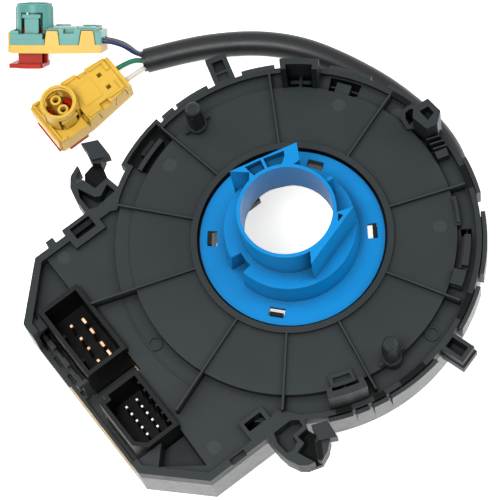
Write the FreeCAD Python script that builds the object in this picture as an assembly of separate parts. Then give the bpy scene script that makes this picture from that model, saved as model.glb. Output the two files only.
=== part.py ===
import FreeCAD, Part
import math
import os

# Steering clock spring. Millimetres, +Z towards the column side, origin on the rotor axis
# at the foot of the wheel-side collar. -Y points to the socket block of the stator.

V = FreeCAD.Vector
ORIGIN = V(0, 0, 0)
UP = V(0, 0, 1)

# Heights of the stator
collar_h = 16.0          # wheel-side collar, which carries the unit above the bench
housing_h = 19.0         # stator, from its wheel side to the top of the disc
base_wall_h = 13.3       # outer wall of the base
parting_gap = 0.2
plate_t = 1.6            # moulded plates
lip_rise = 1.2           # raised lip round the cover's hole
band_drop = 2.75         # recessed band round the disc
rim_drop = 1.3           # rim below the disc
ledge_t = 1.2            # ledge that holds the rotor
under_flange = 0.4       # running gaps above and below that ledge

# Radii of the stator
rim_r = 54.9
band_w = 7.1             # recessed band and rim together
rim_w = 1.6
wall_t = 1.4
lip_w = 1.9
base_flange_w = 3.7      # bottom lip of the base, inward from the rim
strip_gap = 0.3          # slit between the rim and the snap strips
strip_t = 1.3
strip_drop = 2.0

# Socket block
block_x = 43.2
block_reach = 22.1       # front of the block beyond the rim
block_cut = 14.6         # 45 degree corners
block_wall = 2.2
block_way = (0.0, -1.0)
block_root_y = -34.0     # where the block meets the round part
well_floor_z = 24.2      # floor of the open well beside the signal socket

# Rotor
flange_r = 27.05
flange_t = 1.6
hole_gap = 0.7
hub_bore_r = 24.9
hub_wall = 2.0
hub_neck_wall = 1.0
rotor_disc_gap = 0.4
rotor_disc_t = 1.8
collar_r = 30.5
collar_wall = 2.0
tube_bore_r = 13.2
tube_wall = 1.05
tube_rise = 21.7         # top of the tube above the flange
ring_rise = 9.0          # top of the stepped ring above the flange
ring_r = 19.1
ring_draft = 0.7
ring_wall = 1.8
latch_r = 23.35          # middle of the four latch slots
slot_w = 4.6
slot_d = 2.8
slot_angles = (55.8, 125.8, 231.7, 311.6)

# Guards, tower and posts on the column side
guard_rise = 9.0
guard_angles = (139.6, -19.5)
guard_span = 12.6
guard_inset = 3.7        # guard plates, inward from the rim
guard_plate_t = 2.0
tower_rise = 9.5
tower_way = (0.0, 1.0)
post_r = 2.2
post_rise = 13.0
post_insets = (8.9, 8.0)  # posts, inward from the rim
rib_w = 0.8
rib_rise = 0.55
rib_angles = (29.0, 69.0, 109.0, 150.0, 190.0, 220.0, 250.5, 290.0, 319.5, 349.5)
rib_bite = 0.05          # overlap of the ribs with the lip
long_rib_reach = 6.6     # the ribs over the block end this far beyond the rim

# Sockets and their pins
pin_pitch = 2.54
pin_w = 0.64
pin_tip_drop = 6.0       # tips below the disc
signal_x = 3.6
signal_len = 21.1
signal_off = 4.7         # signal socket beyond the rim
signal_w = 14.2
signal_first_pin = 9.15
signal_row_drops = (4.6, 8.3)
power_x = -28.3
power_len = 25.1
power_off = 2.8          # power socket beyond the rim
power_w = 13.9
blade_xs = (-20.0, -16.0, -10.8, -7.5)
blade_drop = 4.4
blade_w = 1.8
blade_t = 0.8
stub_xs = (-21.0, -16.1, -12.3, -7.5)
stub_drop = 8.3
socket_wall = 1.3
socket_floor = 3.9
apron_t = 1.2            # dark floor that covers the board round the sockets
socket_rise = 0.2        # sockets above the top of the disc
fit_gap = 0.2            # between the cover and the sockets
board_half = 27.4
board_off = 2.3          # back edge of the board beyond the rim
well_off = 3.3           # back of the well between the sockets beyond the rim

# Cable inside
ribbon_t = 0.4
ribbon_h = 11.0
ribbon_room = 1.5        # from the hub wall to the first turn
ribbon_end_room = 2.6    # from the last turn to the round wall
ribbon_halves = 11
film_t = 0.3
slip_sheet_inset = 5.2   # slip sheet, inward from the edge of the disc

# Pigtail
sleeve_r = 3.9
sleeve_bore_r = 3.4
wire_r = 0.8
plug_body_h = 7.6
plug_shell_t = 2.6
nose_r = 5.65
nose_h = 7.4

disc_r = rim_r - band_w
base_lip_r = rim_r - base_flange_w
rotor_disc_r = base_lip_r - rotor_disc_gap
guard_plate_r = rim_r - guard_inset
long_rib_r = rim_r + long_rib_reach
slip_sheet_r = disc_r - slip_sheet_inset
post_xy = ((post_insets[0] - rim_r, -0.3), (rim_r - post_insets[1], -0.2))
block_y = rim_r + block_reach
signal_y = -rim_r - signal_off
signal_rows = [signal_y - drop for drop in signal_row_drops]
power_y = -rim_r - power_off
blade_y = power_y - blade_drop
stub_y = power_y - stub_drop
board_back = -rim_r - board_off
well_back = -rim_r - well_off
base_z = collar_h
disc_z = collar_h + housing_h
rim_z = disc_z - rim_drop
band_z = disc_z - band_drop
part_z = base_z + base_wall_h + parting_gap
disc_under = disc_z - plate_t
band_under = band_z - plate_t
hole_r = flange_r + hole_gap
rib_start_r = hole_r + lip_w - rib_bite
flange_under = disc_z - flange_t
ledge_top = flange_under - under_flange
ledge_under = ledge_top - ledge_t
hub_r = hub_bore_r + hub_wall
neck_r = hub_bore_r + hub_neck_wall
ledge_r = neck_r + under_flange
shoulder_z = ledge_under - under_flange
chamber_r = rim_r - wall_t
board_top = base_z + plate_t
socket_top = disc_z + socket_rise
pin_top = disc_z - pin_tip_drop
ring_top = disc_z + ring_rise
tube_top = disc_z + tube_rise
tube_r = tube_bore_r + tube_wall

os.makedirs("parts", exist_ok=True)


def save(name, shape):
    """Write one sub-part, cleaned of leftover seams."""
    shape = shape.removeSplitter()
    shape.exportStep("parts/" + name + ".step")
    print(name, len(shape.Solids), "solid", round(shape.Volume, 1), "mm3", shape.isValid())


def turned(shape, angle):
    shape.rotate(ORIGIN, UP, angle)
    return shape


def cylinder(r, z1, z2, x=0.0, y=0.0):
    return Part.makeCylinder(r, z2 - z1, V(x, y, z1))


def ring(r1, r2, z1, z2):
    return cylinder(r2, z1, z2).cut(cylinder(r1, z1, z2))


def sector(r1, r2, a1, a2, z1, z2):
    """Part of a ring from angle a1 to a2."""
    outer = Part.makeCylinder(r2, z2 - z1, V(0, 0, z1), UP, a2 - a1)
    return turned(outer.cut(cylinder(r1, z1, z2)), a1)


def box(x1, x2, y1, y2, z1, z2):
    return Part.makeBox(x2 - x1, y2 - y1, z2 - z1, V(x1, y1, z1))


def radial_box(r1, r2, width, angle, z1, z2):
    return turned(box(r1, r2, -width / 2, width / 2, z1, z2), angle)


def prism(points, z1, z2):
    """Straight-sided block with the given plan outline."""
    corners = [V(x, y, z1) for x, y in points]
    face = Part.Face(Part.makePolygon(corners + corners[:1]))
    return face.extrude(V(0, 0, z2 - z1))


def rim_prism(points, way, z1, z2):
    """Block with a plan outline measured from the point of the rim that lies that way from the axis."""
    return prism([(x + rim_r * way[0], y + rim_r * way[1]) for x, y in points], z1, z2)


def block_box(x1, x2, y1, y2, z1, z2):
    """Box in the socket block, with its y measured from the front of the rim."""
    return box(x1, x2, y1 - rim_r, y2 - rim_r, z1, z2)


def revolved(profile):
    """Turned body from a closed profile of radius and height."""
    corners = [V(r, 0, z) for r, z in profile]
    face = Part.Face(Part.makePolygon(corners + corners[:1]))
    return face.revolve(ORIGIN, UP, 360)


def joined(shapes):
    return shapes[0].multiFuse(shapes[1:]) if len(shapes) > 1 else shapes[0]


def block_outline(inset, top):
    """Plan of the socket block, moved in by inset, up to y = top."""
    x = block_x - inset
    y = block_y - inset
    c = block_cut - inset * math.tan(math.radians(22.5))
    return [(x, top), (-x, top), (-x, -y + c), (-x + c, -y), (x - c, -y), (x, -y + c)]


# Stator cover

hook_j = [(-0.08, -9.66), (-6.38, -9.36), (-10.68, -8.46), (-13.58, -6.26), (-15.18, -2.66), (-14.08, -2.66),
          (-12.38, -5.26), (-10.48, -6.16), (-10.38, -3.96), (-5.88, -2.76), (-6.28, 2.04), (-0.88, 3.04),
          (3.92, -1.56)]
hook_pocket = [(-9.08, -6.76), (-3.68, -4.46), (-2.78, -2.86), (-4.68, 0.74), (-1.48, 1.34), (-0.58, -5.66),
               (-1.68, -8.06), (-6.48, -8.06)]
hook_neck = [(-14.28, 0.94), (-14.18, 4.34), (-9.38, 2.94), (-5.48, 2.14), (-5.48, -3.46), (-9.58, -4.66),
             (-13.58, -2.06)]
hook_finger = [(-16.48, 1.94), (-13.28, 1.34), (-11.68, 3.34), (-13.08, 5.54), (-15.48, 5.14)]
hook_head = [(-20.28, 2.34), (-17.98, 7.04), (-11.68, 6.94), (-13.68, 2.04)]
far_hook_j = [(-2.92, -10.26), (-1.22, -9.26), (4.48, -9.26), (7.78, -8.76), (11.18, -7.16), (12.78, -5.26),
              (13.38, -2.96), (10.18, -4.36), (7.98, -5.16), (7.08, -1.96), (4.38, -2.26), (4.08, 1.44),
              (-0.02, 2.64), (-5.92, -2.06)]
far_hook_pocket = [(-1.52, -6.66), (-1.72, -0.26), (0.68, 1.04), (2.88, 0.64), (3.08, -3.26), (5.48, -3.36),
                   (6.68, -5.56), (6.28, -7.56), (2.48, -7.96)]
far_hook_neck = [(3.48, -3.46), (3.48, 1.74), (7.08, 3.14), (12.28, 2.64), (14.08, -1.16), (13.08, -4.26),
                 (6.48, -5.66)]
far_hook_finger = [(7.38, 2.04), (10.48, 4.54), (12.68, 1.94), (14.08, -1.16), (13.08, -1.96), (8.28, 0.74)]
far_hook_head = [(4.08, 2.74), (5.88, 7.14), (11.48, 6.54), (8.98, 1.64)]
hook_way = (-0.8, -0.6)
far_hook_way = (0.8, -0.6)
hook_drop = 7.4
pocket_drop = 4.6
neck_drop = 5.0
head_drop = 4.4


def hook(way, plan_j, pocket, neck, finger, head):
    """Wire hook beside the socket block: a J wall round a pocket, a low neck and a finger with a head."""
    low = rim_z - hook_drop
    body = rim_prism(plan_j, way, low, rim_z).cut(rim_prism(pocket, way, rim_z - pocket_drop, rim_z + 1))
    return joined([body, rim_prism(neck, way, low, rim_z - neck_drop), rim_prism(finger, way, low, rim_z - 1.0),
                   rim_prism(head, way, rim_z - head_drop, rim_z)])


def guard(angle):
    """Raised latch guard: plate on the rim, with two gusset cheeks and a foot rib."""
    a1 = angle - guard_span / 2
    a2 = angle + guard_span / 2
    top = disc_z + guard_rise
    plate = sector(guard_plate_r, guard_plate_r + guard_plate_t, a1, a2, band_under, top)
    profile = [V(disc_r - 0.6, 0, band_under), V(guard_plate_r + 0.5, 0, band_under),
               V(guard_plate_r + 0.5, 0, top), V(guard_plate_r - 1.4, 0, top), V(disc_r - 0.2, 0, disc_z),
               V(disc_r - 0.6, 0, disc_z)]
    cheek = Part.Face(Part.makePolygon(profile + profile[:1])).extrude(V(0, plate_t, 0))
    cheek.translate(V(0, -plate_t / 2, 0))
    edge = math.degrees(plate_t / 2 / disc_r)
    left = turned(cheek.copy(), a1 + edge)
    right = turned(cheek.copy(), a2 - edge)
    foot = radial_box(disc_r - 0.4, guard_plate_r + 0.5, rib_w, angle, band_under, disc_z - 0.6)
    return joined([plate, left, right, foot])


def guard_window(angle):
    half = guard_span / 2 - 2.4
    left = sector(disc_r + 0.4, guard_plate_r, angle - half, angle - 0.8, band_under - 1, disc_z + 1)
    right = sector(disc_r + 0.4, guard_plate_r, angle + 0.8, angle + half, band_under - 1, disc_z + 1)
    return left.fuse(right)


def guard_frame(angle):
    """Small raised frame on the disc behind a guard, round a slot."""
    frame = sector(disc_r - 4.0, disc_r, angle - 4.6, angle + 4.6, disc_under, disc_z + 1.0)
    return frame.cut(sector(disc_r - 2.8, disc_r - 1.3, angle - 3.2, angle + 3.2, disc_under - 1, disc_z + 2))


def tower():
    """Square-topped latch tower with a blind recess, a curved arm on one side and a ledge on the other."""
    plan = [(-6.4, -4.5), (-6.0, 0.5), (-0.6, 0.9), (2.0, -2.3), (1.4, -5.7), (-4.0, -6.7)]
    recess = [(-4.4, -3.9), (-4.0, -1.0), (-1.4, -0.9), (-0.6, -3.7)]
    arm = [(-6.2, -1.3), (-9.4, -1.3), (-10.8, -3.5), (-10.6, -5.9), (-8.6, -7.7), (-5.0, -8.3), (-3.8, -6.5)]
    room = [(-6.2, -2.5), (-8.8, -2.5), (-9.6, -3.9), (-9.4, -5.5), (-8.0, -6.5), (-5.6, -6.9)]
    ledge = [(3.4, -5.9), (4.9, -1.9), (8.8, -3.6), (7.8, -6.9)]
    top = disc_z + tower_rise
    at = tower_way
    body = rim_prism(plan, at, part_z, top).cut(rim_prism(recess, at, top - 4.0, top + 1))
    side = rim_prism(arm, at, band_under, disc_z + 1.6).cut(rim_prism(room, at, band_under - 1, disc_z + 2))
    return joined([body, side.cut(rim_prism(plan, at, part_z, top)), rim_prism(ledge, at, band_under, disc_z - 0.6)])


def clip_windows():
    """Openings in the band and in the block plate for the snap tongues of the base."""
    low = band_under - 1
    high = disc_z + 1
    u_clip = sector(disc_r - 0.3, rim_r - 2.0, 119.6, 130.0, low, high)
    recess = sector(rim_r - 6.3, rim_r + 0.6, 189.6, 205.2, low, high)
    beside_tower = rim_prism([(1.2, -6.1), (2.6, -2.5), (4.7, -2.0), (3.3, -6.5)], tower_way, low, high)
    under_arm = rim_prism([(-6.2, -2.5), (-8.8, -2.5), (-9.6, -3.9), (-9.4, -5.5), (-8.0, -6.5), (-5.6, -6.9)],
                          tower_way, low, high)
    arm_gap = sector(rim_r - 6.0, rim_r - 2.9, 51.6, 55.0, low, high)
    return joined([u_clip, recess, beside_tower, under_arm, arm_gap])


def recess_wall():
    """Outer wall of the wide clip recess, which stands proud of the rim."""
    wall = sector(rim_r - 0.4, rim_r + 1.9, 188.4, 206.4, part_z, rim_z)
    return wall.cut(sector(rim_r - 0.5, rim_r + 0.7, 189.6, 205.2, part_z - 1, rim_z + 1))


def window_frames():
    """Walled clip windows at the block's sides, next to the two hooks, and a bump further down."""
    near = block_box(-45.2, -37.8, 3.7, 14.5, band_under, rim_z)
    near = near.cut(block_box(-44.0, -40.0, 5.7, 12.5, band_under - 1, rim_z + 1))
    bar = block_box(-43.3, -42.2, 5.5, 12.7, rim_z - 2.4, rim_z - 1.0)
    bump = block_box(-45.2, -42.0, -2.3, 0.2, part_z, rim_z)
    far = block_box(34.6, 41.4, 8.7, 17.1, band_under, rim_z)
    far = far.cut(block_box(35.8, 38.6, 9.9, 15.7, band_under - 1, rim_z + 1))
    far_bar = block_box(36.6, 37.6, 9.7, 15.9, rim_z - 2.4, rim_z - 1.0)
    return [near, bar, bump, far, far_bar]


def frame_rooms():
    """The windows' openings through the block plate, and a notch in its far side."""
    low = part_z - 2
    near = block_box(-44.0, -40.0, 5.7, 12.5, low, rim_z + 1)
    far = block_box(35.8, 38.6, 9.9, 15.7, low, rim_z + 1)
    notch = block_box(41.6, block_x + 1, 0.3, 5.3, rim_z - 1.4, rim_z + 1)
    return joined([near, far, notch])


tab_angle = 164.1
lug_angle = 16.4


def finger_tab():
    """Tab on the rim with a square pocket and a channel towards it."""
    tab = radial_box(rim_r - 1.2, rim_r + 8.9, 6.4, tab_angle, rim_z - 3.0, rim_z)
    tab = tab.cut(radial_box(rim_r + 3.6, rim_r + 7.1, 3.4, tab_angle, rim_z - 2.0, rim_z + 1))
    return tab.cut(radial_box(rim_r + 0.8, rim_r + 2.8, 3.4, tab_angle, rim_z - 0.7, rim_z + 1))


def side_lug():
    """Box lug on the rim, open to the top, with a step round its foot."""
    lug = radial_box(rim_r - 1.4, rim_r + 7.2, 5.8, lug_angle, rim_z - 4.2, rim_z)
    foot = radial_box(rim_r - 1.4, rim_r + 7.8, 6.6, lug_angle, rim_z - 7.4, rim_z - 4.0)
    return lug.fuse(foot).cut(radial_box(rim_r + 0.4, rim_r + 5.9, 3.4, lug_angle, rim_z - 5.6, rim_z + 1))


def latch_arm():
    """Spring arm lying in the band: a slotted bar, its end block and a thin clip strip."""
    low = band_z - 0.4
    r = rim_r - 5.7
    arm = sector(r, r + 2.6, 39.6, 51.4, low, disc_z - 0.5).cut(sector(r + 0.9, r + 1.8, 41.6, 49.4, band_z, disc_z))
    end_block = sector(r - 1.1, r + 2.4, 33.0, 39.0, low, disc_z + 0.3)
    end_block = end_block.cut(sector(r, r + 1.4, 34.4, 37.6, disc_z - 1.0, disc_z + 1))
    strip = sector(disc_r - 0.4, disc_r + 1.2, 55.2, 66.0, low, disc_z + 0.3)
    return joined([arm, end_block, strip])


def snap_tongues():
    """Spring tongues left standing in the clip windows, each rooted at one side."""
    low = band_under
    high = disc_z - 0.9
    made = [sector(rim_r - 4.7, rim_r - 3.3, 192.6, 205.6, low, high)]
    made.append(radial_box(disc_r - 1.0, disc_r + 3.2, 4.4, 124.8, low, high))
    for angle in guard_angles:
        made.append(sector(disc_r + 1.4, guard_plate_r - 0.9, angle - 3.6, angle + 3.6, low, high))
    return made


def post(x, y):
    """Locating post with a chamfered tip and a wider foot."""
    top = disc_z + post_rise
    shaft = cylinder(post_r, disc_under, top - 0.6, x, y)
    tip = Part.makeCone(post_r, post_r - 0.6, 0.6, V(x, y, top - 0.6))
    foot = cylinder(post_r + 0.8, band_under, disc_z + 1.6, x, y)
    fin = box(x - 0.4, x + 0.4, y - post_r - 2.2, y + post_r + 2.2, band_z, disc_z + 1.0)
    return joined([shaft, tip, foot, fin])


def ribs():
    """Thin raised ribs across the disc and on over the band."""
    made = []
    top = disc_z + rib_rise
    for angle in rib_angles:
        made.append(radial_box(rib_start_r, disc_r, rib_w, angle, disc_under, top))
        end = long_rib_r if 240 < angle < 300 else rim_r - 2.4
        made.append(radial_box(disc_r - 1, end, rib_w, angle, band_under, top))
    return made


def block_cover():
    """Cover of the socket block: a plate with a rim, and a blind pocket at each end."""
    whole = prism(block_outline(0, block_root_y), part_z, rim_z)
    whole = whole.cut(prism(block_outline(block_wall, block_root_y + 1), band_z, rim_z + 1))
    whole = whole.cut(prism(block_outline(block_wall, block_root_y + 1), part_z - 1, band_under))
    left = [(-41.0, -5.0), (-41.0, -6.7), (-29.0, -18.3), (-27.6, -18.3), (-29.4, -5.1)]
    at = block_way
    shelf = rim_prism(left, at, band_under - 2.2, band_under + 0.3)
    right = [(24.8, -4.9), (38.4, -5.5), (30.2, -16.5), (24.8, -11.5)]
    well = rim_prism([(24.95, -3.7), (40.2, -4.0), (30.6, -17.2), (24.95, -12.7)], at, well_floor_z - 1.3, band_z)
    whole = joined([whole, shelf, well])
    whole = whole.cut(rim_prism(left, at, band_under - 0.8, rim_z + 1))
    return whole.cut(rim_prism(right, at, well_floor_z, rim_z + 1))


def base_room():
    """Space the base's walls take up below the parting line, with a little air."""
    g = fit_gap
    round_wall = cylinder(rim_r + g, base_z - 1, part_z).cut(cylinder(chamber_r - g, base_z - 1, part_z))
    tray_wall = prism(block_outline(-g, block_root_y), base_z - 1, part_z)
    tray_wall = tray_wall.cut(prism(block_outline(plate_t + g, block_root_y - 2), base_z - 1, part_z))
    return round_wall.fuse(tray_wall.cut(cylinder(rim_r, base_z - 1, part_z)))


def socket_openings():
    """Room in the cover for the two sockets, open to the front between the corners."""
    low = board_top
    g = fit_gap
    power = box(power_x - g, power_x + power_len + g, power_y - power_w - g, power_y + g, low, disc_z + 1)
    signal = box(signal_x - g, signal_x + signal_len + g, signal_y - signal_w - g, signal_y + g, low, disc_z + 1)
    between = box(power_x + power_len, signal_x, 5.0 - block_y, well_back, low, disc_z + 1)
    front = box(-24.0, 24.9, -block_y - 1, 6.0 - block_y, low, disc_z + 1)
    return joined([power, signal, between, front])


def stator_cover():
    """Column-side cover: one moulding with disc, band, rim, block, hooks, guards and posts."""
    round_part = revolved([
        (ledge_r, ledge_under), (ledge_r, ledge_top), (hole_r, ledge_top), (hole_r, disc_z + lip_rise),
        (hole_r + lip_w, disc_z + lip_rise), (hole_r + lip_w, disc_z), (disc_r, disc_z), (disc_r, band_z),
        (rim_r - rim_w, band_z), (rim_r - rim_w, rim_z), (rim_r, rim_z), (rim_r, part_z),
        (rim_r - wall_t, part_z), (rim_r - wall_t, band_under), (disc_r - plate_t, band_under),
        (disc_r - plate_t, disc_under), (hole_r + plate_t, disc_under), (hole_r + plate_t, ledge_under)])
    block = block_cover().cut(cylinder(rim_r - 0.6, part_z - 15, disc_z))
    body = round_part.fuse(block)
    no_rim = prism(block_outline(block_wall, block_root_y), band_z, disc_z + 1).cut(cylinder(disc_r, band_z, disc_z + 1))
    body = body.cut(no_rim)
    step = sector(disc_r - 1.0, rim_r - 2.9, 220.0, 250.5, band_under, disc_z - 0.35)
    pieces = [body, step, recess_wall(), finger_tab(), side_lug(), latch_arm()]
    pieces += [hook(hook_way, hook_j, hook_pocket, hook_neck, hook_finger, hook_head)]
    pieces += [hook(far_hook_way, far_hook_j, far_hook_pocket, far_hook_neck, far_hook_finger, far_hook_head)]
    pieces += window_frames()
    pieces += [guard_frame(guard_angles[1])]
    pieces += ribs()
    pieces += [post(x, y) for x, y in post_xy]
    body = joined(pieces)
    body = body.cut(clip_windows()).cut(frame_rooms()).cut(socket_openings()).cut(base_room())
    for angle in guard_angles:
        body = body.cut(guard_window(angle))
    body = joined([body, tower()] + [guard(angle) for angle in guard_angles] + snap_tongues())
    return body.cut(cylinder(chamber_r, base_z, band_under).cut(cylinder(hole_r + plate_t, base_z, band_under)))


# Stator base

strip_sectors = ((169.8, 181.0), (182.3, 186.6), (117.8, 131.2), (100.4, 111.8), (66.0, 78.2), (40.0, 60.0),
                 (22.0, 36.0), (-7.4, 10.0), (-13.2, -8.4), (-18.6, -14.4), (-27.0, -19.6), (148.2, 158.5))


def snap_strips():
    """Tall snap strips outside the rim."""
    made = []
    inner = rim_r + strip_gap
    for a1, a2 in strip_sectors:
        made.append(sector(inner, inner + strip_t, a1, a2, part_z - 4.0, disc_z - strip_drop))
        made.append(sector(rim_r - 0.4, inner + strip_t, a1, a2, part_z - 4.0, part_z - 0.8))
    return made


def front_apron():
    """Dark floor over the board with holes for the sockets, a low front wall, two clips and a side wing."""
    top = board_top + apron_t
    g = fit_gap
    plate = box(fit_gap - board_half, board_half - fit_gap, -block_y + 0.6, well_back, board_top, top)
    plate = plate.cut(box(power_x - g, power_x + power_len + g, power_y - power_w - g, power_y + g, board_top, top))
    plate = plate.cut(box(signal_x - g, signal_x + signal_len + g, signal_y - signal_w - g, signal_y + g,
                          board_top, top))
    wall = block_box(-26.0, -6.5, -19.5, -18.3, board_top, board_top + 7.0)
    clips = [block_box(x, x + 3.0, -20.7, -18.1, board_top, board_top + 9.0) for x in (-22.5, -15.5, -9.0)]
    wing = block_box(-4.4, -3.2, -20.7, -17.2, board_top, disc_z - 3.0)
    return joined([plate, wall, wing] + clips)


def stator_base():
    """Wheel-side half of the stator: round wall, bottom lip and the block's tray."""
    top = base_z + base_wall_h
    round_part = revolved([(base_lip_r, base_z), (rim_r, base_z), (rim_r, top), (chamber_r, top),
                           (chamber_r, base_z + plate_t), (base_lip_r, base_z + plate_t)])
    tray = prism(block_outline(0, block_root_y), base_z, top)
    tray = tray.cut(prism(block_outline(plate_t, block_root_y + 1), base_z + plate_t, top + 1))
    tray = tray.cut(cylinder(rim_r - 0.4, base_z - 1, top + 1))
    body = joined([round_part, tray] + snap_strips())
    board_seat = box(-board_half - fit_gap, board_half + fit_gap, -block_y - 1, board_back + fit_gap, base_z - 1,
                     board_top)
    body = body.fuse(front_apron())
    low_front = box(-24.0, 24.9, -block_y - 1, -block_y + plate_t + 1, board_top + 3.0, top + 1)
    cable_slot = box(-5.9, 5.9, -rim_r - 1, -rim_r + wall_t + 2, board_top, top + 1)
    return body.cut(board_seat).cut(low_front).cut(cable_slot)


# Sockets, pins and board

def blade_pins(grow):
    z1 = board_top
    made = []
    for x in blade_xs:
        made.append(box(x - blade_w / 2 - grow, x + blade_w / 2 + grow, blade_y - blade_t / 2 - grow,
                        blade_y + blade_t / 2 + grow, z1, pin_top))
    for x in stub_xs:
        made.append(box(x - blade_t / 2 - grow, x + blade_t / 2 + grow, stub_y - blade_t / 2 - grow,
                        stub_y + blade_t / 2 + grow, z1, pin_top))
    return made


def signal_pins(grow):
    half = pin_w / 2 + grow
    made = []
    for y in signal_rows:
        for i in range(5):
            x = signal_first_pin + i * pin_pitch
            made.append(box(x - half, x + half, y - half, y + half, board_top, pin_top))
    return made


def power_socket():
    """Shroud of the power connector, with its keying slots in the front wall."""
    x2 = power_x + power_len
    y1 = power_y - power_w
    body = box(power_x, x2, y1, power_y, board_top, socket_top)
    w = socket_wall
    body = body.cut(box(power_x + w, x2 - w, y1 + w, power_y - w, board_top + socket_floor, socket_top + 1))
    body = body.cut(box(-16.4, -10.8, y1 - 1, y1 + w + 1, socket_top - 9.0, socket_top - 3.0))
    keys = [box(x, x + 1.0, y1 + w - 0.2, y1 + w + 1.0, board_top + socket_floor, socket_top - 2.0)
            for x in (-18.6, -9.4)]
    return joined([body] + keys).cut(Part.makeCompound(blade_pins(0)))


def signal_socket():
    """Shroud of the signal connector: one clipped corner, one keyed corner and guide teeth."""
    x1 = signal_x
    x2 = signal_x + signal_len
    y2 = signal_y
    y1 = signal_y - signal_w
    w = socket_wall
    key = 1.8
    clip = 3.4
    outline = [(x1, y2), (x1, y1 + key + 0.3), (x1 + key, y1 + key + 0.3), (x1 + key, y1),
               (x2 - clip, y1), (x2, y1 + clip), (x2, y2)]
    cavity = [(x1 + w, y2 - w), (x1 + w, y1 + key + w + 0.3), (x1 + key + w, y1 + key + w + 0.3),
              (x1 + key + w, y1 + w), (x2 - clip - 0.5, y1 + w), (x2 - w, y1 + clip + 0.5), (x2 - w, y2 - w)]
    body = prism(outline, board_top, socket_top)
    body = body.cut(prism(cavity, board_top + socket_floor, socket_top + 1))
    teeth = [box(x, x + 0.7, y2 - w - 0.7, y2 - w + 0.2, board_top + socket_floor, socket_top)
             for x in (x1 + 3.4, x1 + 6.3, x1 + 9.2, x1 + 12.1, x1 + 15.0, x1 + 17.9)]
    return joined([body] + teeth).cut(Part.makeCompound(signal_pins(0)))


def terminal_board():
    """Board under the sockets; its front edge shows along the foot of the block."""
    return box(-board_half, board_half, -block_y, board_back, base_z, board_top)


# Flat cable and its ends

ribbon_z = base_z + rotor_disc_t + film_t + 0.6
ribbon_start_r = hub_r + ribbon_room
ribbon_end_r = chamber_r - ribbon_end_room
ribbon_pitch = (ribbon_end_r - ribbon_start_r) / (ribbon_halves // 2)
ribbon_end_angle = -88.65
ribbon_start_angle = ribbon_end_angle - 180.0


def flat_cable():
    """Wound ribbon: half turns about two centres, each wider than the last."""
    shift = ribbon_pitch / 2
    inner = []
    outer = []
    for k in range(ribbon_halves):
        cx = shift if k % 2 else 0.0
        r = ribbon_start_r + k * shift
        a = 0.0 if k % 2 == 0 else math.pi
        for side, edges in ((0.0, inner), (ribbon_t, outer)):
            p = [V(cx + (r + side) * math.cos(a + t), (r + side) * math.sin(a + t), 0)
                 for t in (0, math.pi / 2, math.pi)]
            edges.append(Part.Arc(p[0], p[1], p[2]).toShape())
    start = Part.makeLine(inner[0].Vertexes[0].Point, outer[0].Vertexes[0].Point)
    end = Part.makeLine(inner[-1].Vertexes[-1].Point, outer[-1].Vertexes[-1].Point)
    wire = Part.Wire(Part.__sortEdges__(inner + outer + [start, end]))
    ribbon = Part.Face(wire).extrude(V(0, 0, ribbon_h))
    ribbon.translate(V(0, 0, ribbon_z))
    return turned(ribbon, ribbon_start_angle)


def inner_cable_block():
    """Carrier on the hub wall that takes the cable's inner end."""
    width = 8.0
    half = math.degrees(math.asin(width / 2 / ribbon_start_r))
    block = radial_box(hub_r - 1.0, ribbon_start_r + ribbon_t + 0.4, width, ribbon_start_angle - half - 0.3,
                       ribbon_z - 0.4, ribbon_z + ribbon_h)
    return block.cut(cylinder(hub_r, base_z, disc_z))


def outer_cable_block():
    """Carrier in the slot of the round wall; it takes the cable's outer end to the board."""
    low = base_z + plate_t
    block = box(-5.6, 5.6, board_back + fit_gap, -chamber_r + 0.4, low, base_z + base_wall_h)
    nose = box(-1.2, 1.2, -chamber_r, -ribbon_end_r - ribbon_t - 0.05, ribbon_z - 0.4, ribbon_z + ribbon_h)
    foot = box(-4.0, 4.0, power_y + fit_gap, board_back + 0.4, low, base_z + base_wall_h)
    return joined([block, nose, foot])


# Rotor

def cam_plan(points):
    return prism(points, ring_top - 0.6, tube_top)


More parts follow.
